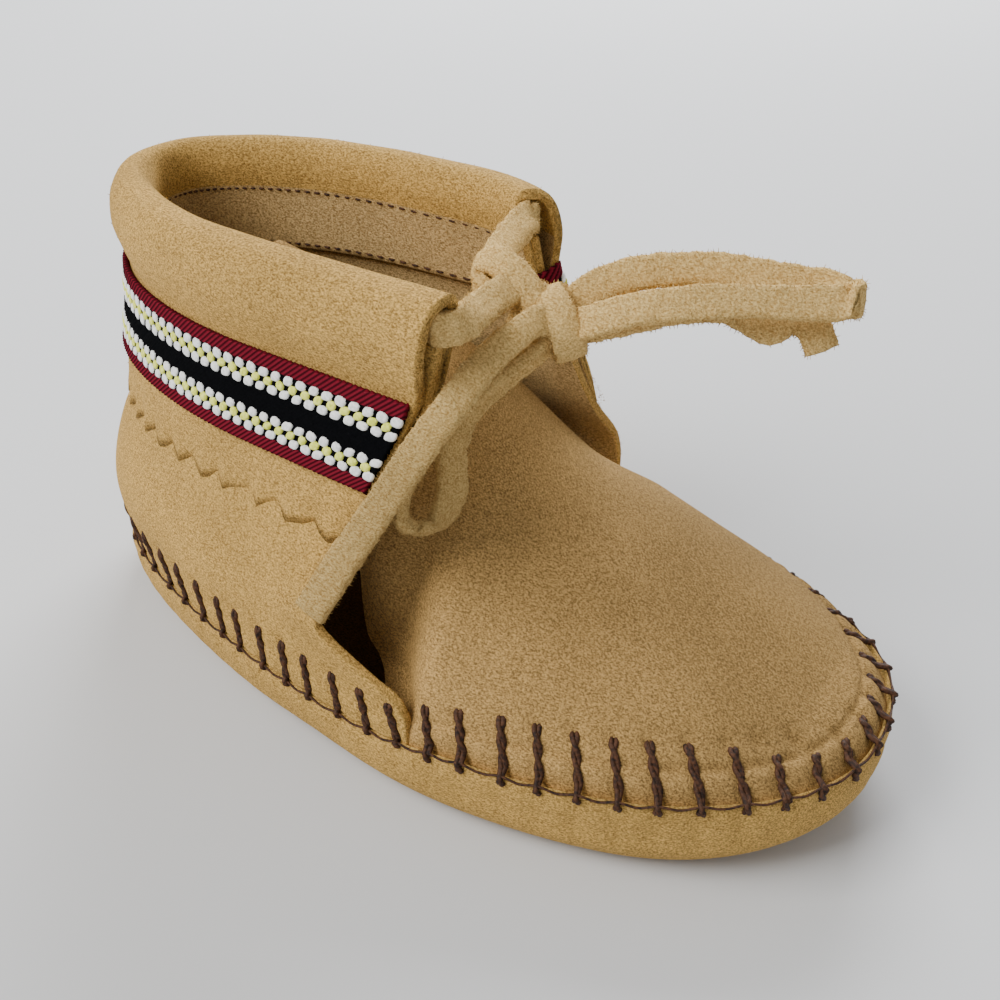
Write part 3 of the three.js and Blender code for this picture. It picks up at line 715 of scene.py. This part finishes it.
for turn in knotTurns:
    middle, axis, across = Vector(turn["middle"]), Vector(turn["axis"]).normalized(), Vector(turn["across"])
    across = (across - axis * axis.dot(across)).normalized()
    other = axis.cross(across)
    ring = []
    for k in range(knot["steps"] + 1):
        angle = 2 * math.pi * (knot["turned"] * k / knot["steps"] - knot["start"])
        off = across * (turn["wide"] * math.cos(angle)) + other * (turn["tall"] * math.sin(angle))
        ring.append(middle + off + axis * (knot["drift"] * (k / knot["steps"] - 0.5)))
    knotRuns.append((ring, outFrom(middle, ring)))
bowKnot = makeThong("bowKnot", knotRuns, "lace_knot")
makeFuzz("laceFuzz", laceFibres, thong["fibreLong"], thongSuede)
print("lace and bow made:", {node: round(pathLength(bow[node]["path"]) * 1000, 1) for node in bow})

# Whip stitches round the seam: even steps with a little of the hand in them
# A pair named Grow or Turn is where a change begins along the shoe, and over what length
stitch = {
    "count": 60, "stray": 0.09, "steps": 18, "step": 0.6, "sides": 7, "strand": 0.4,
    "strandStray": (0.92, 1.1), "apart": 0.33, "twist": 1.6, "flat": 0.5, "proud": 0.14, "dive": 0.9,
    "diveShare": 0.07, "offRim": 0.3, "overLip": 0.4, "climbStep": 0.06, "lapEnd": 80.5, "rise": 6.6,
    "riseVamp": 5.6, "riseBall": 1.4, "ballGrow": (80, 18), "riseInner": 3.4, "riseToe": 2.5,
    "toeGrow": (121, 13), "below": 0.9, "belowVamp": 1.8, "belowToe": 2.6, "belowGrow": (118, 14),
    "leanBack": 1.3, "leanFront": 2.0, "leanGrow": (60, 25), "heelGrow": (0, 10), "leanTurn": (120, 13),
    "leanInner": 0.6, "innerGrow": (110, 20), "lineSteps": 480, "lineThick": 0.18, "lineSides": 6,
    "lineSag": 0.3, "lineWave": 1.15,
}
# Leather drawn in under each stitch: reach along the seam, heights and depths of welt, groove and hole
draw = {
    "reach": 1.1, "welt": 0.45, "weltAt": 2.0, "weltTall": 1.7, "grooveAt": 3.7, "grooveTall": 0.55,
    "grooveVamp": 0.5, "grooveQuarter": 0.15, "hole": 0.5, "holeTall": 1.2, "flatten": 0.7, "pull": 0.25,
    "pullTo": 1.2,
}
stitchRuns = [seamLength * (k + 0.5 + random.uniform(-stitch["stray"], stitch["stray"])) / stitch["count"]
              for k in range(stitch["count"])]


def nearestStitch(run):
    # signed distance along the seam to the closest stitch
    k = int(run / seamLength * stitch["count"])
    around = [stitchRuns[j % stitch["count"]] for j in (k - 1, k, k + 1)]
    gaps = [(run - r + seamLength / 2) % seamLength - seamLength / 2 for r in around]
    return min(gaps, key=abs)


def stitchLean(x, side):
    # slant along the seam, none at the back of the heel; on the outer side it turns over at the toe
    lean = between(stitch["leanBack"], stitch["leanFront"], ramp(x, stitch["leanGrow"]))
    lean *= ramp(x, stitch["heelGrow"])
    if side < 0:
        return lean * (1 - 2 * ramp(x, stitch["leanTurn"]))
    return -lean * between(stitch["leanInner"], 1, ramp(x, stitch["innerGrow"]))


def vampRise(x, side):
    # height of a whip stitch on the vamp, tallest at the ball and short round the toe
    ball = stitch["riseInner"]
    if side < 0:
        ball = stitch["riseVamp"] + stitch["riseBall"] * ramp(x, stitch["ballGrow"])
    return between(ball, stitch["riseToe"], ramp(x, stitch["toeGrow"]))


def pucker(spot, high, x, rise, groove):
    # leather drawn in under each stitch and swollen between; high is the distance up from the seam
    run = spot["run"] + stitchLean(x, spot["side"]) * clamp01(high / rise)
    pull = bell(nearestStitch(run), draw["reach"])
    welt = draw["welt"] * bell(high - draw["weltAt"], draw["weltTall"])
    welt -= groove * bell(high - draw["grooveAt"], draw["grooveTall"])
    tight = draw["pull"] * ease(1 - high / (draw["pullTo"] * rise))
    hole = draw["hole"] * bell(high - rise, draw["holeTall"])
    return welt * (1 - draw["flatten"] * pull) - (tight + hole) * pull


# Creases and soft dents of the leather: middle, length and width along and across its direction, depth
vampCreases = [
    {"at": (82, -15), "towards": (0.5, 1), "long": 9, "wide": 6, "deep": 0.6},
    {"at": (96, -14), "towards": (1, 0.5), "long": 16, "wide": 6, "deep": 0.5},
    {"at": (112, 8), "towards": (1, -0.2), "long": 12, "wide": 8, "deep": -0.4},
]


def vampDent(x, y):
    soft = Vector((x / vamp["softMm"], y / vamp["softMm"], vamp["softSeed"]))
    total = vamp["softDeep"] * noise.noise(soft)
    for crease in vampCreases:
        way = Vector(crease["towards"]).normalized()
        off = Vector((x, y)) - Vector(crease["at"])
        along, across = off.dot(way), off.x * -way.y + off.y * way.x
        total -= crease["deep"] * bell(along, crease["long"]) * bell(across, crease["wide"])
    return total


def vampPlace(u, v):
    # rows run from the toe to the throat, over a fold and along the tongue; the throat's sides are free
    edge, throat, fold = vamp["edgeTurn"], vamp["throatRow"], vamp["foldRow"]
    whole = edge + (math.pi - 2 * edge) * u
    if v > fold:
        return tongueFace((v - fold) / (1 - fold), whole)
    angle = between(edge, math.pi / 2, min(1, v / throat))
    x = last["length"] - (last["length"] - vamp["back"]) * (1 - math.cos(angle))
    cut = readCurve(vamp["freeEdge"], x)
    turn = cut + (math.pi - 2 * cut) * u
    point = vampFace(x, turn)
    index, far = seamTree.find((point.x, point.y, 0))[1:]
    spot = seamWalk[index]
    high = math.hypot(far, point.z - seamZ(x)) - rimRaise(x, spot["side"])
    lift = pucker(spot, high, x, vampRise(x, spot["side"]), draw["grooveVamp"])
    lift *= ramp(x, vamp["sewn"]) * ease(vamp["puckerTo"] - high / vamp["puckerMm"])
    lift += vampDent(point.x, point.y) * ease(far / vamp["dentFrom"])
    free = ease((vamp["sewn"][0] - x) / vamp["freeRun"])
    fromEdge = min(turn, math.pi - turn) - cut
    lift -= vamp["rollDeep"] * free * (1 - ease(fromEdge / vamp["rollWide"]))
    slope = Vector((vampTop(x - 1) - vampTop(x + 1), 0, 2)).normalized()
    side = Vector((0, point.y - middleY(x), 0)) * (vamp["sideways"] / max(1.0, seamHalf(x, 1)))
    point += (slope + side * math.exp(-far / vamp["sidewaysMm"])).normalized() * lift
    return point if v <= throat else point.lerp(tongueFace(0, whole), (v - throat) / (fold - throat))


vampMesh = surfaceGrid(vamp, vampPlace)
vampTree = BVHTree.FromBMesh(vampMesh)
vampLeather = newPiece("vampLeather", vampMesh, [vampSuede])
addWall(vampLeather, vamp["wall"], vamp["cutEdge"])
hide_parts("upper")

quarterTopUp = 1 - quarter["topDrop"] / (crestZ(collar["front"]) - seamZ(collar["front"]))
quarterCreases = [
    {"at": (-0.62, 0.3), "long": 0.16, "wide": 0.05, "deep": 0.5, "tilt": 0.25},
    {"at": (-0.2, 0.42), "long": 0.2, "wide": 0.05, "deep": 0.6, "tilt": -0.1},
    {"at": (0.5, 0.32), "long": 0.2, "wide": 0.06, "deep": 0.6, "tilt": 0.2},
]


def quarterPlace(u, v):
    up = quarterTopUp * v
    turn = turnAlong(u, up)
    x = collar["front"] * turn * turn
    index = seamTree.find((x, seamY(x, -1 if turn < 0 else 1), 0))[1]
    high = up * (crestZ(x) - seamZ(x))
    out = pucker(seamWalk[index], high, x, stitch["rise"], draw["grooveQuarter"])
    out *= ease(quarter["puckerTo"] - high / quarter["puckerMm"])
    for crease in quarterCreases:
        along, across = turn - crease["at"][0], up - crease["at"][1]
        across -= crease["tilt"] * along
        out -= crease["deep"] * bell(along, crease["long"]) * bell(across, crease["wide"])
    soft = noise.noise(Vector((turn * quarter["softAlong"], up * quarter["softUp"], quarter["softSeed"])))
    return quarterPoint(u, up, out + quarter["softDeep"] * soft * ease(up / quarter["softFrom"]))


quarterMesh = surfaceGrid(quarter, quarterPlace)
quarterTree = BVHTree.FromBMesh(quarterMesh)
quarterLeather = newPiece("quarterLeather", quarterMesh, [suede, fleshSide])
addWall(quarterLeather, quarter["wall"], quarter["cutEdge"])
quarterLeather.modifiers["wall"].material_offset = 1
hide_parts("upper")
print("vamp and quarter made")


def climbVamp(spot, climb):
    # place on the vamp's side at a distance up along it from the seam
    base = spot["point"]
    inset, length, place = 0.0, 0.0, Vector((base.x, base.y, vampZ(base.x, base.y)))
    while length < climb:
        inset += stitch["climbStep"]
        plan = base + spot["inward"] * inset
        ahead = Vector((plan.x, plan.y, vampZ(plan.x, plan.y)))
        length += (ahead - place).length
        place = ahead
    return place


def stitchPath(run, ply):
    # two plies twisted round one line, from the sole's side up over its edge and into the leather above
    start = seamAt(run)
    x, side = start["point"].x, start["side"]
    onVamp = x > stitch["lapEnd"]
    rise, below = stitch["rise"], stitch["below"]
    if onVamp:
        rise = vampRise(x, side)
        below = between(stitch["belowVamp"], stitch["belowToe"], ramp(x, stitch["belowGrow"]))
    lip = rimRaise(x, side)
    spots = []
    for k in range(stitch["steps"] + 1):
        t = k / stitch["steps"]
        climb = (rise + below) * t - below
        spot = seamAt(run - stitchLean(x, side) * clamp01(climb / rise))
        base = spot["point"]
        lift = stitch["proud"] - stitch["dive"] * (1 - ease(min(t, 1 - t) / stitch["diveShare"]))
        if climb < 0:
            out = -spot["inward"]
            point = base + out * (stitch["offRim"] + rimOut(x, side) + lift) + Vector((0, 0, lip + climb))
        else:
            if onVamp:
                point = climbVamp(spot, lip + climb)
            else:
                turn = spot["side"] * math.sqrt(max(0.0, base.x) / collar["front"])
                point = quarterFace(turn, climb / (crestZ(base.x) - seamZ(base.x)))
            place, out = (vampTree if onVamp else quarterTree).find_nearest(toFrame(point))[:2]
            point = fromFrame(place) + out * (lift + stitch["overLip"] * lip / rim["lip"] * math.exp(-climb))
        turned = 2 * math.pi * stitch["twist"] * t + math.pi * ply
        spots.append(point + spot["along"] * (stitch["apart"] * math.cos(turned))
                     + out * (stitch["flat"] * stitch["apart"] * math.sin(turned)))
    return spots


def seamThread(run):
    # the thread between the stitches, lying on the rim and sagging a little half way
    spot = seamAt(run)
    x, side = spot["point"].x, spot["side"]
    sag = stitch["lineSag"] * (1 - math.cos(nearestStitch(run) * stitch["lineWave"]))
    out = stitch["offRim"] + rimOut(x, side)
    return spot["point"] - spot["inward"] * out + Vector((0, 0, rimRaise(x, side) - sag))


stitchMesh = bmesh.new()
for run in stitchRuns:
    thick = stitch["strand"] * random.uniform(*stitch["strandStray"])
    for ply in (0, 1):
        path = smoothPath(stitchPath(run, ply), stitch["step"])
        addTube(stitchMesh, path, lambda t: (thick, thick), stitch["sides"])
seamPath = [seamThread(seamLength * k / stitch["lineSteps"]) for k in range(stitch["lineSteps"] + 1)]
addTube(stitchMesh, seamPath, lambda t: (stitch["lineThick"], stitch["lineThick"]), stitch["lineSides"])
closeTubes(stitchMesh)
newPiece("whipStitches", stitchMesh, [brownThread])
print("whip stitches made:", stitch["count"])

# Sole: one soft tray; plan inset from the seam and share of the seam's height, from rim to floor
# A name in Rows is a share of the rows between the rim and the middle
sole = {
    "leather": 1.8, "arch": 1.2, "archAt": 60, "archSpan": 14, "archTo": 24, "toeSpring": 5.4,
    "springFrom": 108, "heelSpring": 1.6, "heelFlat": 13, "midFrom": 26, "midTo": 108, "sideRows": 0.8,
    "rimRows": 0.06, "turnRows": 0.2, "turnRowsInner": 0.02, "pucker": 0.35, "puckerWide": 1.2,
    "puckerRows": 0.5,
    "side": [(0, 1), (-0.6, 0.72), (-0.5, 0.45), (0.7, 0.2), (3, 0.05), (6.5, 0)],
    "columns": 420, "rows": 56, "within": (66, 1, 4),
}


def floorZ(x):
    # height of the sole's underside at a place along the shoe
    x = min(last["length"], max(0.0, x))
    arch = sole["arch"] * math.exp(-(((x - sole["archAt"]) / sole["archSpan"]) ** 2) * 2)
    toe = sole["toeSpring"] * clamp01((x - sole["springFrom"]) / (last["length"] - sole["springFrom"])) ** 2
    heel = sole["heelSpring"] * clamp01(1 - x / sole["heelFlat"]) ** 2
    return (arch if abs(x - sole["archAt"]) < sole["archTo"] else 0) + toe + heel


def traySide(share):
    at = share * (len(sole["side"]) - 1)
    return [readCurve([(k, row[column]) for k, row in enumerate(sole["side"])], at) for column in (0, 1)]


def towardsMiddle(plan, share):
    # drawn in to the line under the middle of the foot
    midX = min(sole["midTo"], max(sole["midFrom"], plan.x))
    return plan.lerp(Vector((midX, middleY(midX), 0)), ease(share))


def solePlace(u, v):
    # v: inner middle, up the inside, over the rim, down the outside, outer middle
    run = seamLength * u
    spot = seamAt(run)
    inner = v < 0.5
    w = abs(2 * v - 1)
    inset, up = traySide(min(1.0, w / sole["sideRows"]))
    if inner:
        inset += sole["leather"] * ease(w / sole["rimRows"])
    else:
        swell = sole["pucker"] * (1 - bell(nearestStitch(run), sole["puckerWide"]))
        inset -= swell * ease(1 - w / sole["puckerRows"]) * ease(w / sole["rimRows"])
    turned = ease(1 - w / sole["turnRowsInner" if inner else "turnRows"])
    lean = rimOut(spot["point"].x, spot["side"]) * turned
    plan = spot["point"] + spot["inward"] * (inset - lean)
    low = floorZ(plan.x)
    top = seamZ(min(last["length"], max(0.0, plan.x))) - quarter["seamGap"]
    top += rimRaise(spot["point"].x, spot["side"]) * turned
    thick = sole["leather"] if inner else 0
    z = max(low + thick, low + (top - low) * up)
    if w > sole["sideRows"]:
        plan = towardsMiddle(plan, (w - sole["sideRows"]) / (1 - sole["sideRows"]))
        z = floorZ(plan.x) + thick
    return Vector((plan.x, plan.y, z))


soleMesh = surfaceGrid(sole, solePlace)
bmesh.ops.remove_doubles(soleMesh, verts=soleMesh.verts, dist=weld["tray"])
soleLeather = newPiece("soleLeather", soleMesh, [suede])
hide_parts("sole")

insole = {"thick": 1.8, "inset": 9.5, "gap": 0.3, "edgeRows": 0.2, "columns": 200, "rows": 24,
          "within": (66, 1, 3)}


def insolePlace(u, v):
    spot = seamAt(seamLength * u)
    w = abs(2 * v - 1)
    edge = spot["point"] + spot["inward"] * insole["inset"]
    plan = towardsMiddle(edge, (w - insole["edgeRows"]) / (1 - insole["edgeRows"]))
    half = insole["thick"] / 2 * (1 - (1 - min(1.0, w / insole["edgeRows"])) ** 2) ** 0.5
    middle = floorZ(plan.x) + sole["leather"] + insole["gap"] + insole["thick"] / 2
    return Vector((plan.x, plan.y, middle + (half if v > 0.5 else -half)))


insoleMesh = surfaceGrid(insole, insolePlace)
bmesh.ops.remove_doubles(insoleMesh, verts=insoleMesh.verts, dist=weld["tray"])
insoleSuede = newPiece("insoleSuede", insoleMesh, [innerSuede])
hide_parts("insole")
print("sole and insole made")

# Cuff: folded leather, offset from the quarter's face against drop under the crest, outer edge to inner hem
cuff = {
    "leather": 1.4, "columns": 416, "rows": 112, "within": (40, 3, 60), "ankle": (42, 3), "fleshFrom": 7.6,
    "teeth": 26, "toothDeep": 1.7, "toothGrow": (33, 5), "toothStray": 0.25, "strayScale": 40,
    "straySeed": 5.1, "flushGrow": (29, 8), "flushIn": 0.8, "flushTooth": 0.3, "flushThin": 0.4,
    "edgeRows": 0.012, "probe": 0.2, "softDeep": 0.35, "softAlong": 15, "softMm": 14, "softSeed": 1.9,
    "softTo": 16, "softRun": 8,
    "path": [(1.0, 38), (1.0, 31), (1.0, 22), (1.0, 14), (2.1, 10.5), (2.9, 7), (2.6, 3.6), (1.1, 1.2),
             (-1.1, 0.7), (-2.4, 2.1), (-2.8, 4.4), (-2.6, 6.6), (-2.35, 8.8), (-2.3, 12), (-2.3, 15.2),
             (-2.3, 18.4)],
}
cuffOut = [(k, row[0]) for k, row in enumerate(cuff["path"])]
cuffDrop = [(k, row[1]) for k, row in enumerate(cuff["path"])]


def cuffPlace(u, v):
    # v runs from the pinked edge up the outside, over the roll to the inner hem, and back on the under face
    under = v > 0.5
    w = 2 - 2 * v if under else 2 * v
    at = w * (len(cuff["path"]) - 1)
    out, drop = readCurve(cuffOut, at), readCurve(cuffDrop, at)
    ahead, behind = min(at + cuff["probe"], cuffOut[-1][0]), max(at - cuff["probe"], 0)
    run = Vector((readCurve(cuffOut, ahead) - readCurve(cuffOut, behind),
                  readCurve(cuffDrop, behind) - readCurve(cuffDrop, ahead))).normalized()
    toEdge = 1 - clamp01(min(w, 1 - w) / cuff["edgeRows"])
    half = cuff["leather"] / 2 * math.sqrt(max(0.0, 1 - toEdge ** 2))
    flush = ramp(drop, cuff["flushGrow"])
    stray = cuff["toothStray"] * noise.noise(Vector((u * cuff["strayScale"], 0, cuff["straySeed"])))
    tooth = abs((u * cuff["teeth"] + stray) % 1 - 0.5) * 2
    out -= (cuff["flushIn"] + cuff["flushTooth"] * tooth) * flush
    half *= (1 - cuff["flushThin"] * flush) * (-1 if under else 1)
    drop -= cuff["toothDeep"] * tooth * ramp(drop, cuff["toothGrow"])
    soft = noise.noise(Vector((u * cuff["softAlong"], drop / cuff["softMm"], cuff["softSeed"])))
    soft *= cuff["softDeep"] * ease((cuff["softTo"] - drop) / cuff["softRun"])
    return cuffPoint(u, drop + run.x * half, out + run.y * half + soft)


cuffMesh = surfaceGrid(cuff, cuffPlace)
bmesh.ops.holes_fill(cuffMesh, edges=[e for e in cuffMesh.edges if e.is_boundary], sides=0)
bmesh.ops.recalc_face_normals(cuffMesh, faces=cuffMesh.faces)
for face in cuffMesh.faces:
    centre = fromFrame(face.calc_center_median())
    inward = face.normal.xy.dot(centre.xy - Vector(cuff["ankle"])) < 0
    face.material_index = int(inward and crestZ(centre.x) - centre.z > cuff["fleshFrom"])
cuffLeather = newPiece("cuffLeather", cuffMesh, [suede, fleshSide])
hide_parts("cuff")
print("cuff made")

# Woven braid: ground with real twill ribs, white and yellow pattern floats standing on it
braid = {
    "from": 14, "to": 28, "face": 2.0, "thick": 0.7, "columns": 620, "rows": 48, "within": (42, 3, 55),
    "stations": 400, "start": 0.6, "redFrom": 5.0, "ribMm": 0.95, "ribHigh": 0.14, "red": "#7a1c2c",
    "redDark": "#2e0810", "black": "#020203", "blackPale": "#0b0c0f",
    "turnIn": 4.6, "inside": 3.4, "middle": 0.25, "bulge": 0.9, "endRise": 2.5, "endRun": 22,
}
# Floats: rows across the band, and each one's length, width and height
floats = {
    "pitch": 2.35, "white": [-4.4, -2.2, 2.2, 4.4], "yellow": [-3.3, 3.3], "whiteSize": (1.85, 1.5, 0.28),
    "yellowSize": (1.6, 1.45, 0.33), "start": 1.2, "endGap": 1, "stray": (0.92, 1.08), "skew": (-0.1, 0.25),
    "square": 0.7, "probe": 0.4, "probeUp": 0.5,
}
braidMiddle = (braid["from"] + braid["to"]) / 2
braidWide = braid["to"] - braid["from"]
braidRuns = [0.0]
braidLine = [cuffPoint(k / braid["stations"], braidMiddle, braid["face"])
             for k in range(braid["stations"] + 1)]
for a, b in zip(braidLine, braidLine[1:]):
    braidRuns.append(braidRuns[-1] + (b - a).length)
bandLength = braidRuns[-1] + braid["turnIn"] + braid["inside"]


def alongAt(run):
    k = min(braid["stations"] - 1, max(0, bisect.bisect(braidRuns, run) - 1))
    return (k + clamp01((run - braidRuns[k]) / (braidRuns[k + 1] - braidRuns[k]))) / braid["stations"]


def bandPoint(run, across, proud):
    # run is along the band in millimetres; past its far end the band is turned in round the cuff's front edge
    over = run - braidRuns[-1]
    drop = braidMiddle - across - braid["endRise"] * ease(1 + over / braid["endRun"])
    out = braid["face"] + braid["thick"] + proud
    if over <= 0:
        return cuffPoint(alongAt(run), drop, out)
    angle = math.pi * min(1, over / braid["turnIn"])
    back = max(0.0, over - braid["turnIn"]) / braidRuns[-1]
    edge = cuffPoint(1 - back, drop, between(braid["middle"], out, math.cos(angle)))
    forward = (cuffPoint(1, drop, 0) - cuffPoint(0.99, drop, 0)).normalized()
    return edge + forward * ((braid["bulge"] + proud) * math.sin(angle))


def braidPlace(u, v):
    across = (v - 0.5) * braidWide
    run = between(braid["start"], bandLength, u)
    return bandPoint(run, across, braid["ribHigh"] * math.sin(2 * math.pi * (run + across) / braid["ribMm"]))


braidMesh = bmesh.new()
bmesh.ops.create_grid(braidMesh, x_segments=braid["columns"], y_segments=braid["rows"], size=1)
uvLayer = braidMesh.loops.layers.uv.new("braid")
for face in braidMesh.faces:
    for loop in face.loops:
        u, v = (loop.vert.co.x + 1) / 2, (loop.vert.co.y + 1) / 2
        loop[uvLayer].uv = (u * bandLength / 1000, (v - 0.5) * braidWide / 1000)
for vertex in braidMesh.verts:
    vertex.co = toFrame(braidPlace((vertex.co.x + 1) / 2, (vertex.co.y + 1) / 2))
faceOutward(braidMesh, braid["within"])
braidGround = newPiece("braidGround", braidMesh, [makeBraidGround("braidGround", braid)])
addWall(braidGround, braid["thick"], 0)
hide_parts("braid_band")


def makeFloats(name, rows, shift, size, material):
    mesh = bmesh.new()
    step, stepUp = floats["probe"], floats["probeUp"]
    for row in rows:
        run = floats["start"] + shift
        while run < bandLength - floats["endGap"]:
            centre = bandPoint(run, row, 0)
            lengthwise = (bandPoint(run + step, row, 0) - bandPoint(run - step, row, 0)).normalized()
            upward = (bandPoint(run, row + stepUp, 0) - bandPoint(run, row - stepUp, 0)).normalized()
            proud = (bandPoint(run, row, stepUp) - centre).normalized()
            made = bmesh.ops.create_icosphere(mesh, subdivisions=2, radius=1)["verts"]
            long = size[0] / 2 * random.uniform(*floats["stray"])
            wide = size[1] / 2 * random.uniform(*floats["stray"])
            skew = random.uniform(*floats["skew"])
            for vertex in made:
                a, b, c = (math.copysign(abs(t) ** floats["square"], t) for t in vertex.co)
                offset = lengthwise * (a * long) + upward * (b * wide + a * skew) + proud * (c * size[2])
                vertex.co = toFrame(centre + offset)
            run += floats["pitch"]
    piece = newPiece(name, mesh, [material])


makeFloats("braidWhite", floats["white"], 0, floats["whiteSize"], whiteThread)
makeFloats("braidYellow", floats["yellow"], floats["pitch"] / 2, floats["yellowSize"], yellowThread)
print("braid made, length", round(braidRuns[-1], 1))

# Hem stitches inside the collar: one row of running stitch under the roll and one at the hem, drop and offset
hem = {"pitch": 2.2, "long": 1.7, "thick": 0.2, "blunt": 0.4, "sink": 0.3, "steps": 4, "sides": 6,
       "lines": [(7.7, -3.3), (17, -3.1)]}
hemCount = int(braidRuns[-1] / hem["pitch"])
hemMesh = bmesh.new()
for drop, out in hem["lines"]:
    for k in range(2, hemCount - 1):
        path = []
        for j in range(hem["steps"] + 1):
            share = j / hem["steps"]
            along = (k + (share - 0.5) * hem["long"] / hem["pitch"]) / hemCount
            path.append(cuffPoint(along, drop, out + hem["sink"] * (2 * share - 1) ** 2))
        addTube(hemMesh, path, lambda t: [hem["thick"] * math.sin(math.pi * t) ** hem["blunt"]] * 2,
                hem["sides"])
closeTubes(hemMesh)
newPiece("hemStitches", hemMesh, [brownThread])
print("hem stitches made")

# Fibres along the cut front edges and the cuff's ends, and a thin nap on the cuff
fray = {"front": 500, "frontUp": (0.1, 0.5), "frontOut": (-1.4, 0), "ends": 1100, "endOff": (-0.6, 0.6),
        "nap": 1600, "fibreLong": 0.42, "behind": 0.02}
frayFibres = []


def addFray(along, place):
    # a fibre on an edge, pointing away from the leather behind it
    edge, behind = place(along), place(abs(along - fray["behind"]))
    frayFibres.append((toFrame(edge), (edge - behind).normalized()))


for along in (0, 1):
    for k in range(fray["front"] // 2):
        up, out = random.uniform(*fray["frontUp"]), random.uniform(*fray["frontOut"])
        addFray(along, lambda a: quarterPoint(a, up, out))
    for k in range(fray["ends"] // 2):
        at, off = random.uniform(0, len(cuff["path"]) - 1), random.uniform(*fray["endOff"])
        addFray(along, lambda a: cuffPoint(a, readCurve(cuffDrop, at) + off, readCurve(cuffOut, at) + off))
cuffCorners = cuffLeather.data.vertices
for k in range(fray["nap"]):
    vertex = cuffCorners[random.randrange(len(cuffCorners))]
    frayFibres.append((vertex.co.copy(), vertex.normal.copy()))
makeFuzz("frayFuzz", frayFibres, fray["fibreLong"], suede)
print("fibres made")

# Floor and light
floor = {"half": 3.0, "colour": "#d0d1d3"}
floorMesh = bmesh.new()
bmesh.ops.create_grid(floorMesh, x_segments=1, y_segments=1, size=floor["half"])
floorData = bpy.data.meshes.new("floor")
floorMesh.to_mesh(floorData)
floorMesh.free()
floorPiece = bpy.data.objects.new("floor", floorData)
bpy.context.scene.collection.objects.link(floorPiece)
floorMaterial, floorTree, floorShader = newMaterial("paleBackdrop")
fillInputs(floorTree, floorShader, {"Base Color": hexColour(floor["colour"]), "Roughness": 0.9})
floorData.materials.append(floorMaterial)

lights = [
    {"name": "window", "at": (-0.48, -0.54, 0.76), "to": (0, 0, 0.03), "size": 0.6, "watts": 13,
     "tint": (1, 0.985, 0.95)},
    {"name": "farWall", "at": (-0.3, 0.8, 0.5), "to": (-0.12, 0.4, 0), "size": 0.6, "watts": 15,
     "tint": (0.97, 0.985, 1)},
]
for setting in lights:
    lamp = bpy.data.lights.new(setting["name"], "AREA")
    lamp.size = setting["size"]
    lamp.energy = setting["watts"]
    lamp.color = setting["tint"]
    lampPiece = bpy.data.objects.new(setting["name"], lamp)
    lampPiece.location = setting["at"]
    aim = Vector(setting["to"]) - Vector(setting["at"])
    lampPiece.rotation_euler = aim.to_track_quat("-Z", "Y").to_euler()
    bpy.context.scene.collection.objects.link(lampPiece)
world = bpy.data.worlds.new("softSky")
world.use_nodes = True
sky = {"Color": (0.87, 0.88, 0.89, 1), "Strength": 0.55}
fillInputs(world.node_tree, world.node_tree.nodes["Background"], sky)
bpy.context.scene.world = world
